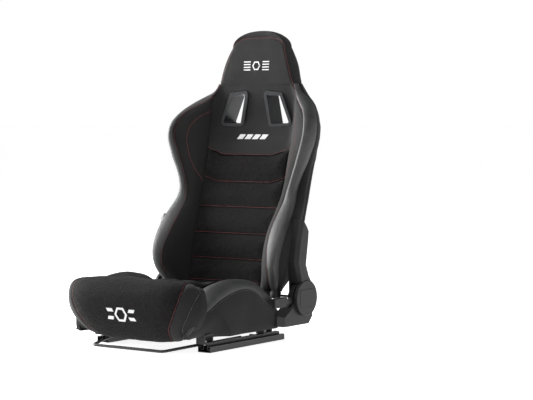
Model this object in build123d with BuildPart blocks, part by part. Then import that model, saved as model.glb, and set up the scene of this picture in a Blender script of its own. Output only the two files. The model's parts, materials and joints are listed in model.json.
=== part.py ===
"""Reclining sports seat on a pair of slide rails.

+X is the side that carries the recline lever, the occupant faces -Y, +Z is up.
The origin is the centre of the four floor bolt holes, on the floor. All sizes are millimetres.
"""

import math
import os

from build123d import *

os.makedirs("parts", exist_ok=True)

# ---------------------------------------------------------------- driving sizes
# slide rails
rail_spacing = 392.0  # centre to centre
rail_length = 380.0
rail_width = 46.0
rail_height = 18.0
rail_wall = 2.0
lip_gap = 20.0  # open slot between the lower rail's lips
floor_hole_pitch = 330.0
floor_hole_radius = 4.25
slide_travel = 90.0  # each way from the middle
upper_width = 16.0
upper_rise = 8.0  # how far the seat rail stands above the floor rail
ball_radius = 2.35
ball_spacing = 24.0
balls_per_row = 8

# slide latch
notch_pitch = 10.0
notch_width = 5.4
notch_depth = 5.0
latch_pivot_y = 75.0
latch_arm = 135.0  # pivot to the middle tooth
latch_thickness = 2.5
latch_pin_radius = 2.0
bar_radius = 4.5
bar_reach = 117.0  # in front of the rails
bar_drop = 9.5
bar_taper = 33.0

# seat base
frame_tube_radius = 12.0
frame_height = 65.0  # tube centre above the floor
frame_front = -226.0
frame_rear = 236.0
mount_pitch = 300.0  # front to rear feet
mount_shift = -37.0
foot_length = 44.0
foot_width = 30.0
foot_wall = 4.0
cushion_side_gap = 9.0  # cushion stands this much proud of the hips
cushion_front = -338.0
cushion_rear = 136.0
cushion_crest = 213.0
cushion_core_half = 150.0

# recliner
pivot_y = 220.0
pivot_z = 131.0
plate_thickness = 4.0
disc_radius = 42.0
disc_thickness = 7.8
shaft_radius = 5.0
lever_length = 142.0
lever_plate = 3.5
cover_wall = 2.5
hub_radius = 56.0
hub_thickness = 10.0
spring_radius = 25.0
bolt_radius = 4.0
bolt_head = 13.0  # across flats
stud_radius = 2.2

# backrest
back_bottom = 155.0
back_top = 970.0
shoulder_half = 274.0  # half of the widest width, at the shoulders
back_tube_radius = 8.5
cavity_depth = 23.0  # room for the frame behind the foam
rear_skin = 11.0
rear_margin = 12.0  # rear shell's step in from the foam's sides
rear_wall = 9.0
bezel_width = 12.0
bezel_proud = 4.0
tunnel_wall = 2.5
strap_thickness = 1.0
strap_width = 44.0
strap_shares = (0.135, 0.233, 0.331, 0.429)  # of the backrest's height

# clearances
part_gap = 0.5
slip_gap = 0.3
running_gap = 0.05
stud_gap = 0.1

# ---------------------------------------------------------------- backrest shape
# Shares of the backrest's height against shares of the shoulders' half width,
# or against millimetres measured from the recliner's pivot.
outline = [
    (0.000, 0.770), (0.043, 0.835), (0.110, 0.875), (0.202, 0.880), (0.301, 0.850),
    (0.380, 0.825), (0.485, 0.912), (0.589, 1.000), (0.669, 0.956), (0.724, 0.788),
    (0.745, 0.693), (0.865, 0.496), (0.945, 0.394), (0.982, 0.274), (1.000, 0.109),
]  # fmt: skip
seam_line = [
    (0.000, 0.700), (0.110, 0.748), (0.202, 0.719), (0.301, 0.697), (0.380, 0.726),
    (0.485, 0.832), (0.589, 0.938), (0.669, 0.876), (0.724, 0.672), (0.745, 0.620),
]  # fmt: skip
wing_depth = [
    (0.000, 8), (0.043, 50), (0.110, 82), (0.202, 79), (0.301, 50), (0.380, 33),
    (0.485, 47), (0.589, 90), (0.669, 83), (0.724, 35), (0.745, 18),
]  # fmt: skip
front_line = [
    (0.000, -62), (0.104, -33), (0.202, -9), (0.301, 25), (0.400, 50), (0.497, 70),
    (0.546, 85), (0.620, 127), (0.853, 127), (0.914, 132), (0.963, 139), (1.000, 148),
]  # fmt: skip
back_plane = [(0.000, -30), (0.546, 113), (0.613, 155), (1.000, 155)]
panel_edge = [(0.000, 0.520), (0.546, 0.592), (1.000, 0.592)]
rear_line = [
    (0.000, 1.000), (0.380, 0.900), (0.546, 0.915), (0.589, 0.865), (0.669, 0.800),
    (0.724, 0.700), (0.745, 0.670), (1.000, 0.620),
]  # fmt: skip
harness_corners = [(0.186, 0.617), (0.544, 0.621), (0.376, 0.756), (0.099, 0.767)]
pad_split = 0.512  # where the back pad ends and the head pad starts
wing_top = 0.745
back_height = back_top - back_bottom


def along(table, share):
    """The table's value at that share, on straight lines between its rows."""
    for (a, low), (b, high) in zip(table, table[1:]):
        if share <= b:
            return low + (high - low) * (share - a) / (b - a)
    return table[-1][1]


def height(share):
    return back_bottom + share * back_height


def share_at(z):
    return (z - back_bottom) / back_height


def half_width(share):
    return shoulder_half * along(outline, share)


def rear_half(share):
    """Half width where the wings meet the rear shell."""
    return min(half_width(share), shoulder_half * along(rear_line, share))


def panel_half(share):
    return shoulder_half * along(panel_edge, share)


def front_y(share):
    return pivot_y + along(front_line, share)


def foam_back_y(share):
    return pivot_y + along(back_plane, share)


# ---------------------------------------------------------------- derived places
rail_x = rail_spacing / 2
lip_x = rail_x - lip_gap / 2  # inner lip's free edge
upper_top = rail_height + upper_rise
ball_z = rail_wall + ball_radius + 0.15
flange_z = ball_z + ball_radius + 0.15
flange_half = rail_width / 2 - 2 * rail_wall
hook_top = rail_height - 2 * rail_wall
ball_offset = flange_half - 3.5
mount_ys = (mount_shift - mount_pitch / 2, mount_shift + mount_pitch / 2)
foot_height = frame_height - frame_tube_radius - upper_top

hip_half = max(half_width(s) for s, _ in outline if s < 0.35)
waist_half = min(half_width(s) for s, _ in outline if 0.2 < s < 0.6)
cushion_half = hip_half + cushion_side_gap
frame_x = cushion_half - 37.0
frame_side = frame_x + frame_tube_radius

arm_plate_x = hip_half + part_gap
moving_disc_x = arm_plate_x + plate_thickness
fixed_disc_x = moving_disc_x + disc_thickness + slip_gap
base_plate_x = fixed_disc_x + disc_thickness
lever_x = base_plate_x + plate_thickness + slip_gap
cover_top_x = lever_x + lever_plate + 2.0 + cover_wall
hub_x = cover_top_x + 1.5
arm_face_x = hub_x + hub_thickness - 2.0
collar_radius = disc_radius + 5.5 + cover_wall
foot_z = frame_height - pivot_z  # seat frame's height as the recliner sees it
spacer_ys = (-74.0, 14.0)
arm_bolt_places = ((-20.0, 119.0), (-12.0, 200.0))
arm_stud_places = ((-27.0, 160.0), (-8.0, 224.0))
base_stud_places = ((-52.0, foot_z), (30.0, foot_z + 20.0))

tube_half = waist_half - rear_margin - rear_wall - back_tube_radius - 6.5
tube_offset = back_tube_radius + 2.0
tube_clear = 1.0
bracket_x = tube_half + 6.0
head_tube_y = foam_back_y(1.0) + tube_offset + tube_clear
levels = sorted({s for s, _ in outline} | {s for s, _ in back_plane})
bezel_y = min(front_y(s) for _, s in harness_corners) - slip_gap
rear_y = foam_back_y(1.0) + cavity_depth + rear_skin
hole_inset = bezel_width - tunnel_wall - part_gap


def side_plane(x):
    """Sketch plane at that x, whose axes are Y and Z measured from the recliner's pivot."""
    return Plane(origin=(x, pivot_y, pivot_z), x_dir=(0, 1, 0), z_dir=(1, 0, 0))


def harness_outline(side):
    """The corners of a harness opening's bezel, in the X-Z plane."""
    return [(side * shoulder_half * x, height(s)) for x, s in harness_corners]


def write(part, name):
    part.label = name
    export_step(part, f"parts/{name}.step")


def write_pair(part, name):
    """Writes the +X piece as _right and its mirror image as _left."""
    write(part, f"{name}_right")
    write(mirror(part, about=Plane.YZ, mode=Mode.PRIVATE), f"{name}_left")


# ---------------------------------------------------------------- floor rail
# C section with inward lips, a row of latch notches and two floor bolt holes
with BuildPart() as floor_rail:
    with BuildSketch(Plane.XZ.offset(-rail_length / 2)):
        with Locations((rail_x, rail_height / 2)):
            Rectangle(rail_width, rail_height)
            Rectangle(rail_width - 2 * rail_wall, rail_height - 2 * rail_wall, mode=Mode.SUBTRACT)
        with Locations((rail_x, rail_height)):
            Rectangle(lip_gap, 4 * rail_wall, mode=Mode.SUBTRACT)
    extrude(amount=rail_length)
    bottom_edges = floor_rail.edges().filter_by(Axis.Y).group_by(Axis.Z)[0].sort_by(Axis.X)
    fillet([bottom_edges[0], bottom_edges[-1]], 0.75 * rail_wall)
    notch_count = int(2 * slide_travel / notch_pitch) + 5
    with Locations((lip_x - notch_depth / 2, latch_pivot_y - latch_arm, rail_height)):
        with GridLocations(notch_depth, notch_pitch, 1, notch_count):
            Box(notch_depth, notch_width, 3 * rail_wall, mode=Mode.SUBTRACT)
    with Locations((rail_x, 0, rail_wall)):
        with GridLocations(rail_width, floor_hole_pitch, 1, 2):
            Hole(floor_hole_radius, depth=2 * rail_wall)
write_pair(floor_rail.part, "floor_rail")

# ---------------------------------------------------------------- seat rail
# box section whose hooked flanges run on the balls inside the floor rail
half_section = [
    (0, upper_top), (upper_width / 2, upper_top), (upper_width / 2, flange_z + rail_wall),
    (flange_half - rail_wall, flange_z + rail_wall), (flange_half - rail_wall, hook_top),
    (flange_half, hook_top), (flange_half, flange_z), (upper_width / 2 - rail_wall, flange_z),
    (upper_width / 2 - rail_wall, upper_top - rail_wall), (0, upper_top - rail_wall),
]  # fmt: skip
with BuildPart() as seat_rail:
    with BuildSketch(Plane.XZ.offset(-rail_length / 2 + 6.0)):
        with Locations((rail_x, 0)):
            Polygon(*half_section, align=None)
            Polygon(*[(-x, z) for x, z in half_section], align=None)
    extrude(amount=rail_length - 12.0)
    with Locations((rail_x, mount_shift, upper_top)):
        with GridLocations(rail_width, mount_pitch, 1, 2):
            Hole(bolt_radius + stud_gap, depth=2 * rail_wall)
    with Locations((rail_x - upper_width / 2 + rail_wall / 2, latch_pivot_y, rail_height + 4.3)):
        Cylinder(latch_pin_radius, 2 * rail_wall, rotation=(0, 90, 0), mode=Mode.SUBTRACT)
write_pair(seat_rail.part, "seat_rail")

# ---------------------------------------------------------------- slider balls and cages
cage_length = balls_per_row * ball_spacing
with BuildPart() as slider_balls:
    for side in (-1, 1):
        for offset_x in (-ball_offset, ball_offset):
            with Locations((side * rail_x + offset_x, 0, ball_z)):
                with GridLocations(rail_width, ball_spacing, 1, balls_per_row):
                    Sphere(ball_radius)
write(slider_balls.part, "slider_balls")

with BuildPart() as ball_cages:
    for side in (-1, 1):
        for offset_x in (-ball_offset, ball_offset):
            with Locations((side * rail_x + offset_x, 0, ball_z)):
                Box(2 * ball_radius + 2.0, cage_length, 1.2)
                with GridLocations(rail_width, ball_spacing, 1, balls_per_row):
                    Cylinder(ball_radius + stud_gap, 2.0, mode=Mode.SUBTRACT)
write(ball_cages.part, "ball_cages")

# ---------------------------------------------------------------- feet
with BuildPart() as seat_feet:
    for side in (-1, 1):
        with Locations((side * rail_x, mount_shift, upper_top + foot_height / 2)):
            with GridLocations(rail_width, mount_pitch, 1, 2):
                Box(foot_width, foot_length, foot_height)
                Box(
                    foot_width, foot_length - 2 * foot_wall, foot_height - 2 * foot_wall,
                    mode=Mode.SUBTRACT,
                )  # fmt: skip
        with Locations((side * rail_x, mount_shift, upper_top)):
            with GridLocations(rail_width, mount_pitch, 1, 2):
                Cylinder(bolt_radius + stud_gap, 4 * foot_wall, mode=Mode.SUBTRACT)
        with Locations((side * (rail_x - 6.0), mount_shift, upper_top + foot_height)):
            with GridLocations(rail_width, mount_pitch, 1, 2):
                Cylinder(bolt_radius + stud_gap, 4 * foot_wall, mode=Mode.SUBTRACT)
write(seat_feet.part, "seat_feet")

with BuildPart() as foot_bolts:
    for side in (-1, 1):
        for y in mount_ys:
            lower = (side * rail_x, y, upper_top + foot_wall)
            upper = (side * (rail_x - 6.0), y, upper_top + foot_height + foot_wall)
            with Locations(lower, upper):
                Cylinder(bolt_radius, 9.0, align=(Align.CENTER, Align.CENTER, Align.MAX))
            for place in (lower, upper):
                with BuildSketch(Plane(origin=place)):
                    RegularPolygon(bolt_head / 2, 6, major_radius=False)
                extrude(amount=5.0)
write(foot_bolts.part, "foot_bolts")

# ---------------------------------------------------------------- seat frame
# closed ring of round tube, a middle cross tube and a weld pad over each foot
half_ring = [(0, frame_rear), (frame_x, frame_rear), (frame_x, frame_front), (0, frame_front)]
with BuildPart() as seat_frame:
    for side in (-1, 1):
        with BuildLine() as bend:
            FilletPolyline(*[(side * x, y, frame_height) for x, y in half_ring], radius=50.0)
        with BuildSketch(Plane(origin=bend.line @ 0, z_dir=bend.line % 0)):
            Circle(frame_tube_radius)
        sweep()
    with Locations((0, (frame_front + frame_rear) / 2, frame_height)):
        Cylinder(frame_tube_radius - 1.0, 2 * frame_x, rotation=(0, 90, 0))
    pad_width = frame_x - rail_x + foot_width / 2 + 9.0
    for side in (-1, 1):
        pad_x = rail_x - foot_width / 2 + pad_width / 2
        with Locations((side * pad_x, mount_shift, frame_height - frame_tube_radius)):
            with GridLocations(rail_width, mount_pitch, 1, 2):
                Box(
                    pad_width, foot_length, foot_wall,
                    align=(Align.CENTER, Align.CENTER, Align.MIN),
                )  # fmt: skip
        with Locations((side * (rail_x - 6.0), mount_shift, frame_height - frame_tube_radius)):
            with GridLocations(rail_width, mount_pitch, 1, 2):
                Cylinder(bolt_radius + stud_gap, 4 * foot_wall, mode=Mode.SUBTRACT)
        for y in spacer_ys:
            stub = Plane(origin=(side * frame_x, pivot_y + y, frame_height), z_dir=(side, 0, 0))
            with Locations(stub):
                Cylinder(
                    bolt_radius + stud_gap, 2 * frame_tube_radius,
                    align=(Align.CENTER, Align.CENTER, Align.MIN), mode=Mode.SUBTRACT,
                )  # fmt: skip
write(seat_frame.part, "seat_frame")

# ---------------------------------------------------------------- seat pan
pan_low = frame_height + frame_tube_radius + slip_gap
pan_top = pan_low + 1.8
with BuildPart() as seat_pan:
    with BuildSketch(Plane.XY.offset(pan_low)):
        with Locations((0, frame_front + 186.0)):
            RectangleRounded(2 * (frame_x - frame_tube_radius), 352.0, 40.0)
            with GridLocations(130.0, 120.0, 2, 2):
                Circle(22.0, mode=Mode.SUBTRACT)
    extrude(amount=pan_top - pan_low)
write(seat_pan.part, "seat_pan")

# ---------------------------------------------------------------- cushion
# centre foam with the full-width roll over the front edge of the frame
roll_back = frame_front - frame_tube_radius - 4.0
roll_low = frame_height - 32.0
roll_half = cushion_half - 14.0
core_profile = [
    (cushion_front + 62, roll_low), (cushion_front + 20, roll_low + 27),
    (cushion_front + 2, roll_low + 75), (cushion_front, roll_low + 125),
    (cushion_front + 16, roll_low + 162), (cushion_front + 48, cushion_crest - 1),
    (cushion_front + 98, cushion_crest), (-100, 188), (60, 154), (cushion_rear, 138),
    (cushion_rear, pan_top + part_gap), (roll_back, pan_top + part_gap), (roll_back, roll_low),
]  # fmt: skip
half_roll = [
    (roll_half - 80, roll_low), (roll_half - 40, roll_low + 30), (roll_half, roll_low + 85),
    (roll_half, cushion_crest - 50), (roll_half - 24, cushion_crest - 12),
    (roll_half - 60, cushion_crest),
]  # fmt: skip
with BuildPart() as cushion_core:
    with BuildSketch(Plane.YZ.offset(-roll_half)):
        Polygon(*core_profile, align=None)
    extrude(amount=2 * roll_half)
    with Locations((0, roll_back, cushion_crest / 2)):
        for side in (-1, 1):
            with Locations((side * (cushion_core_half + roll_half), 0, 0)):
                Box(
                    2 * roll_half, cushion_rear - roll_back + 10.0, 2 * cushion_crest,
                    align=(Align.CENTER, Align.MIN, Align.CENTER), mode=Mode.SUBTRACT,
                )  # fmt: skip
    with BuildSketch(Plane.XZ.offset(-cushion_rear - 5.0)):
        Polygon(*half_roll, *[(-x, z) for x, z in reversed(half_roll)], align=None)
    extrude(amount=cushion_rear - cushion_front + 10.0, mode=Mode.INTERSECT)
write(cushion_core.part, "cushion_core")

# side bolster: its ridge rises behind the roll and falls towards the recliner
bolster_inner = cushion_core_half + part_gap
bolster_low = frame_height - 17.0
skirt_x = frame_side + 1.0
stations = [
    (roll_back + part_gap, 150, 135), (-190, 192, 160), (-120, 206, 175), (-40, 202, 178),
    (30, 186, 160), (80, 158, 132), (cushion_rear - 24, 138, 112),
]  # fmt: skip
with BuildPart() as cushion_bolster:
    for y, ridge, shoulder in stations:
        with BuildSketch(Plane.XZ.offset(-y)):
            Polygon(
                (bolster_inner, pan_top + part_gap), (bolster_inner, min(ridge - 8, 150)),
                (cushion_half - 52, ridge - 4), (cushion_half - 36, ridge),
                (cushion_half - 18, ridge - 6), (cushion_half, shoulder),
                (cushion_half, bolster_low + 10), (cushion_half - 6, bolster_low),
                (skirt_x, bolster_low), (skirt_x, pan_top + part_gap), align=None,
            )  # fmt: skip
    loft(ruled=True)
write_pair(cushion_bolster.part, "cushion_bolster")

# ---------------------------------------------------------------- recliner, fixed half
base_outline = [
    (-92, foot_z + 16), (-92, foot_z - 14), (36, foot_z - 14), (disc_radius, 0), (-disc_radius, 0),
]  # fmt: skip
with BuildPart() as base_plate:
    with BuildSketch(side_plane(base_plate_x)):
        Circle(disc_radius + 2.0)
        Polygon(*base_outline, align=None)
        with Locations(*[(y, foot_z) for y in spacer_ys]):
            Circle(bolt_radius + stud_gap, mode=Mode.SUBTRACT)
        Circle(shaft_radius + slip_gap, mode=Mode.SUBTRACT)
        with Locations(*base_stud_places):
            Circle(stud_radius + stud_gap, mode=Mode.SUBTRACT)
    extrude(amount=plate_thickness)
write_pair(base_plate.part, "base_plate")

with BuildPart() as plate_spacers:
    with BuildSketch(side_plane(frame_side + running_gap)):
        with Locations(*[(y, foot_z) for y in spacer_ys]):
            Circle(10.0)
            Circle(bolt_radius + stud_gap, mode=Mode.SUBTRACT)
    extrude(amount=base_plate_x - frame_side - running_gap)
write_pair(plate_spacers.part, "plate_spacers")

with BuildPart() as base_bolts:
    for side in (-1, 1):
        for y in spacer_ys:
            head = (side * (base_plate_x + plate_thickness), pivot_y + y, frame_height)
            with Locations(Plane(origin=head, z_dir=(side, 0, 0))):
                Cylinder(
                    bolt_radius, head[0] * side - frame_x - 4.0,
                    align=(Align.CENTER, Align.CENTER, Align.MAX),
                )  # fmt: skip
            with BuildSketch(Plane(origin=head, z_dir=(side, 0, 0))):
                RegularPolygon(bolt_head / 2, 6, major_radius=False)
            extrude(amount=5.0)
write(base_bolts.part, "base_bolts")

with BuildPart() as fixed_disc:
    with BuildSketch(side_plane(fixed_disc_x)):
        Circle(disc_radius)
        Circle(shaft_radius + slip_gap, mode=Mode.SUBTRACT)
    extrude(amount=disc_thickness)
    rims = fixed_disc.edges().filter_by(GeomType.CIRCLE).sort_by(SortBy.RADIUS)[-2:]
    chamfer(rims, 0.8)
    with BuildSketch(side_plane(fixed_disc_x)):
        Circle(24.0)
    extrude(amount=4.0, mode=Mode.SUBTRACT)
write_pair(fixed_disc.part, "recliner_fixed_disc")

# ---------------------------------------------------------------- recliner, moving half
with BuildPart() as moving_disc:
    with BuildSketch(side_plane(moving_disc_x)):
        Circle(disc_radius)
        Circle(shaft_radius + slip_gap, mode=Mode.SUBTRACT)
    extrude(amount=disc_thickness)
    rims = moving_disc.edges().filter_by(GeomType.CIRCLE).sort_by(SortBy.RADIUS)[-2:]
    chamfer(rims, 0.8)
write_pair(moving_disc.part, "recliner_moving_disc")

arm_blade = [
    (-38, 14), (-40, 112), (-36, 160), (-28, 190), (-16, 238), (2, 234), (10, 206), (4, 170),
    (-4, 108), (14, 60), (40, 10),
]  # fmt: skip
with BuildPart() as arm_plate:
    with BuildSketch(side_plane(arm_plate_x)):
        Circle(disc_radius + 2.0)
        Polygon(*arm_blade, align=None)
        Circle(shaft_radius + slip_gap, mode=Mode.SUBTRACT)
        with Locations(*arm_bolt_places):
            Circle(bolt_radius + stud_gap, mode=Mode.SUBTRACT)
        with Locations(*arm_stud_places):
            Circle(stud_radius + stud_gap, mode=Mode.SUBTRACT)
    extrude(amount=plate_thickness)
write_pair(arm_plate.part, "arm_plate")

with BuildPart() as arm_bolts:
    for side in (-1, 1):
        for y, z in arm_bolt_places:
            head = (side * (arm_plate_x + plate_thickness), pivot_y + y, pivot_z + z)
            with Locations(Plane(origin=head, z_dir=(side, 0, 0))):
                Cylinder(bolt_radius, 24.0, align=(Align.CENTER, Align.CENTER, Align.MAX))
            with BuildSketch(Plane(origin=head, z_dir=(side, 0, 0))):
                RegularPolygon(bolt_head / 2, 6, major_radius=False)
            extrude(amount=5.0)
write(arm_bolts.part, "arm_bolts")

# spiral return spring of flat strip, coiled in half turns inboard of the arm plate
spring_step = 2.2
spring_turns = int((spring_radius - shaft_radius - 4.0) / spring_step)
with BuildPart() as return_spring:
    with BuildSketch(side_plane(arm_plate_x - part_gap - 8.0)):
        with BuildLine() as spiral:
            end = -spring_radius
            for turn in range(spring_turns):
                radius = spring_radius - turn * spring_step
                side = 1 if turn % 2 == 0 else -1
                other = end + side * 2 * radius
                ThreePointArc((end, 0), ((end + other) / 2, side * radius), (other, 0))
                end = other
        trace(line_width=1.0)
    extrude(amount=7.0)
write_pair(return_spring.part, "return_spring")

# ---------------------------------------------------------------- recliner covers
cover_foot = [(-131, -47), (-131, -78), (-98, -84), (26, -84), (46, -62), (46, -14), (-66, 0)]
cover_face = [(-105, -53), (-104, -78), (-96, -82), (24, -82), (44, -61), (44, -14), (-49, -17)]
cover_inner_x = cushion_half + part_gap
chamfer_x = cover_top_x - 12.0
plate_room = base_plate_x + plate_thickness + slip_gap
with BuildPart() as base_cover:
    with BuildSketch(side_plane(cover_inner_x)):
        Polygon(*cover_foot, align=None)
    extrude(amount=chamfer_x - cover_inner_x)
    with BuildSketch(side_plane(chamfer_x)):
        Polygon(*cover_foot, align=None)
    with BuildSketch(side_plane(cover_top_x)):
        Polygon(*cover_face, align=None)
    loft(ruled=True)
    with BuildSketch(side_plane(cover_inner_x)):
        Circle(collar_radius)
    extrude(amount=cover_top_x - cover_inner_x)
    with BuildSketch(side_plane(cover_inner_x - 1.0)):
        Polygon(*base_outline, align=None)
        offset(amount=1.5, kind=Kind.INTERSECTION)
    extrude(amount=plate_room - cover_inner_x + 1.0, mode=Mode.SUBTRACT)
    with BuildSketch(side_plane(plate_room - 0.1)):
        with Locations(*[(y, foot_z) for y in spacer_ys]):
            Circle(bolt_head * 0.65)
    extrude(amount=6.0, mode=Mode.SUBTRACT)
    with BuildSketch(side_plane(cover_inner_x - 1.0)):
        Circle(collar_radius - cover_wall)
    extrude(amount=cover_top_x - cover_wall - cover_inner_x + 1.0, mode=Mode.SUBTRACT)
    with BuildSketch(side_plane(lever_x - 1.0)):
        Polygon((-20, -24), (-140, -26), (-140, 66), (-20, 34), align=None)
    extrude(amount=lever_plate + 2.0, mode=Mode.SUBTRACT)
    with BuildSketch(side_plane(base_plate_x)):
        with Locations(*base_stud_places):
            Circle(stud_radius)
    extrude(amount=plate_thickness + 1.0)
write_pair(base_cover.part, "base_cover")

arm_outline = [
    (-28, 46), (-37, 74), (-50, 113), (-36, 184), (-20, 246), (4, 240), (18, 212), (14, 180),
    (1, 108), (15, 68), (34, 40),
]  # fmt: skip
arm_face = [
    (-26, 46), (-33, 75), (-45, 114), (-32, 181), (-16, 231), (0, 222), (10, 207), (7, 181),
    (-5, 105), (10, 69), (30, 42),
]  # fmt: skip
arm_inner_x = moving_disc_x + part_gap
arm_chamfer_x = arm_face_x - 15.0
cap_width = 78.0
cap_height = 56.0
cap_depth = 1.6
with BuildPart() as arm_cover:
    with BuildSketch(side_plane(arm_inner_x)):
        Polygon(*arm_outline, align=None)
    extrude(amount=arm_chamfer_x - arm_inner_x)
    with BuildSketch(side_plane(arm_chamfer_x)):
        Polygon(*arm_outline, align=None)
    with BuildSketch(side_plane(arm_face_x)):
        Polygon(*arm_face, align=None)
    loft(ruled=True)
    with BuildSketch(side_plane(arm_inner_x - 1.0)):
        Polygon(*arm_outline, align=None)
        offset(amount=-cover_wall, kind=Kind.INTERSECTION)
    extrude(amount=arm_chamfer_x - arm_inner_x + 1.0, mode=Mode.SUBTRACT)
    with BuildSketch(side_plane(arm_chamfer_x)):
        Polygon(*arm_face, align=None)
        offset(amount=-cover_wall, kind=Kind.INTERSECTION)
    extrude(amount=arm_face_x - cover_wall - arm_chamfer_x, mode=Mode.SUBTRACT)
    with BuildSketch(side_plane(arm_inner_x - 1.0)):
        Circle(collar_radius + 1.0)
    extrude(amount=hub_x - arm_inner_x + 1.0, mode=Mode.SUBTRACT)
    with BuildSketch(side_plane(hub_x)):
        Circle(hub_radius)
    extrude(amount=hub_thickness)
    fillet(arm_cover.edges().filter_by(GeomType.CIRCLE).sort_by(Axis.X)[-1], 2.5)
    with BuildSketch(side_plane(hub_x + hub_thickness - cap_depth)):
        RectangleRounded(cap_width, cap_height, 9.0)
    extrude(amount=2 * cap_depth, mode=Mode.SUBTRACT)
    with BuildSketch(side_plane(arm_plate_x)):
        with Locations(*arm_stud_places):
            Circle(stud_radius)
    extrude(amount=arm_face_x - arm_plate_x - 1.0)
write_pair(arm_cover.part, "arm_cover")

with BuildPart() as hub_cap:
    with BuildSketch(side_plane(hub_x + hub_thickness - cap_depth)):
        RectangleRounded(cap_width - 2 * part_gap, cap_height - 2 * part_gap, 8.5)
    extrude(amount=cap_depth + 0.8)
    chamfer(hub_cap.faces().sort_by(Axis.X)[-1].edges(), 0.5)
write_pair(hub_cap.part, "hub_cap")

# ---------------------------------------------------------------- recline lever
with BuildPart() as cross_shaft:
    with BuildSketch(side_plane(-lever_x - lever_plate)):
        Circle(shaft_radius)
    extrude(amount=2 * (lever_x + lever_plate) + 1.5)
write(cross_shaft.part, "cross_shaft")

with BuildPart() as lever_arm:
    with BuildSketch(side_plane(lever_x)):
        Circle(14.0)
        Polygon(
            (0, 13), (-88, 3), (-lever_length, 3), (-lever_length, -13), (-88, -13), (0, -13),
            align=None,
        )  # fmt: skip
        Circle(shaft_radius + running_gap, mode=Mode.SUBTRACT)
    extrude(amount=lever_plate)
write(lever_arm.part, "lever_arm")

grip_outline = [
    (-93, -14), (-93, 8), (-97, 10), (-156, 10), (-159, 7), (-159, -17), (-156, -20), (-104, -20),
]  # fmt: skip
with BuildPart() as lever_grip:
    with BuildSketch(side_plane(lever_x - 4.0)):
        Polygon(*grip_outline, align=None)
    extrude(amount=13.0)
    chamfer(lever_grip.faces().sort_by(Axis.X)[-1].edges(), 1.5)
    chamfer(lever_grip.faces().sort_by(Axis.X)[0].edges(), 1.5)
    with Locations((lever_x + lever_plate / 2, pivot_y - lever_length / 2, pivot_z - 5.0)):
        Box(
            lever_plate + 2 * running_gap, lever_length + 2 * running_gap, 16 + 2 * running_gap,
            mode=Mode.SUBTRACT,
        )  # fmt: skip
write(lever_grip.part, "lever_grip")

# ---------------------------------------------------------------- slide latch
latch_low = rail_height + 1.0
pin_z = rail_height + 4.3
knuckle_radius = 3.7
plate_in = rail_x - rail_width / 2 - 1.45
plate_out = lip_x + part_gap
tooth_x = lip_x - notch_depth + 0.5
tooth_width = notch_depth - 1.0
bar_x = plate_in - bar_radius
with BuildPart() as latch_plate:
    strip_front = latch_pivot_y - latch_arm - 24.0
    with Locations((plate_in, strip_front, latch_low)):
        Box(
            plate_out - plate_in, latch_arm - 20.0, latch_thickness,
            align=(Align.MIN, Align.MIN, Align.MIN),
        )  # fmt: skip
    with Locations((plate_out - 10.5, strip_front, latch_low)):
        Box(
            10.5, latch_pivot_y - strip_front, latch_thickness,
            align=(Align.MIN, Align.MIN, Align.MIN),
        )  # fmt: skip
    with Locations((plate_out - 5.25, latch_pivot_y, pin_z)):
        Cylinder(knuckle_radius, 10.5, rotation=(0, 90, 0))
        Cylinder(latch_pin_radius + running_gap, 12.0, rotation=(0, 90, 0), mode=Mode.SUBTRACT)
    with Locations((tooth_x + tooth_width / 2, latch_pivot_y - latch_arm, latch_low)):
        with GridLocations(notch_depth, notch_pitch, 1, 3):
            Box(
                tooth_width, notch_width - 1.0, latch_low - rail_height - slip_gap,
                align=(Align.CENTER, Align.CENTER, Align.MAX),
            )  # fmt: skip
write_pair(latch_plate.part, "latch_plate")

with BuildPart() as latch_pins:
    for side in (-1, 1):
        web_x = rail_x - upper_width / 2 + rail_wall / 2
        with Locations(Plane(origin=(side * web_x, latch_pivot_y, pin_z), z_dir=(-side, 0, 0))):
            Cylinder(latch_pin_radius, 19.0, align=(Align.CENTER, Align.CENTER, Align.MIN))
            with Locations((0, 0, 19.0)):
                Cylinder(3.2, 1.2, align=(Align.CENTER, Align.CENTER, Align.MIN))
write(latch_pins.part, "latch_pins")

with BuildPart() as latch_springs:
    for side in (-1, 1):
        for turn in range(3):
            coil_x = plate_out - 10.5 - 1.2 - 1.15 * turn
            with Locations(Plane(origin=(side * coil_x, latch_pivot_y, pin_z), z_dir=(1, 0, 0))):
                Torus(latch_pin_radius + 0.9, 0.5)
write(latch_springs.part, "latch_springs")

bar_z = latch_low + latch_thickness / 2
bar_rear = latch_pivot_y - 45.0
bar_front = -rail_length / 2 - bar_reach
half_bar = [
    (bar_x, bar_rear, bar_z), (bar_x, -rail_length / 2, bar_z - 1.0),
    (bar_x - bar_taper, bar_front, bar_z - bar_drop),
]  # fmt: skip
with BuildPart() as latch_bar:
    with BuildLine() as bar_path:
        FilletPolyline(*half_bar, *[(-x, y, z) for x, y, z in reversed(half_bar)], radius=18.0)
    with BuildSketch(Plane(origin=bar_path.line @ 0, z_dir=bar_path.line % 0)):
        Circle(bar_radius)
    sweep()
write(latch_bar.part, "latch_bar")

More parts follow.
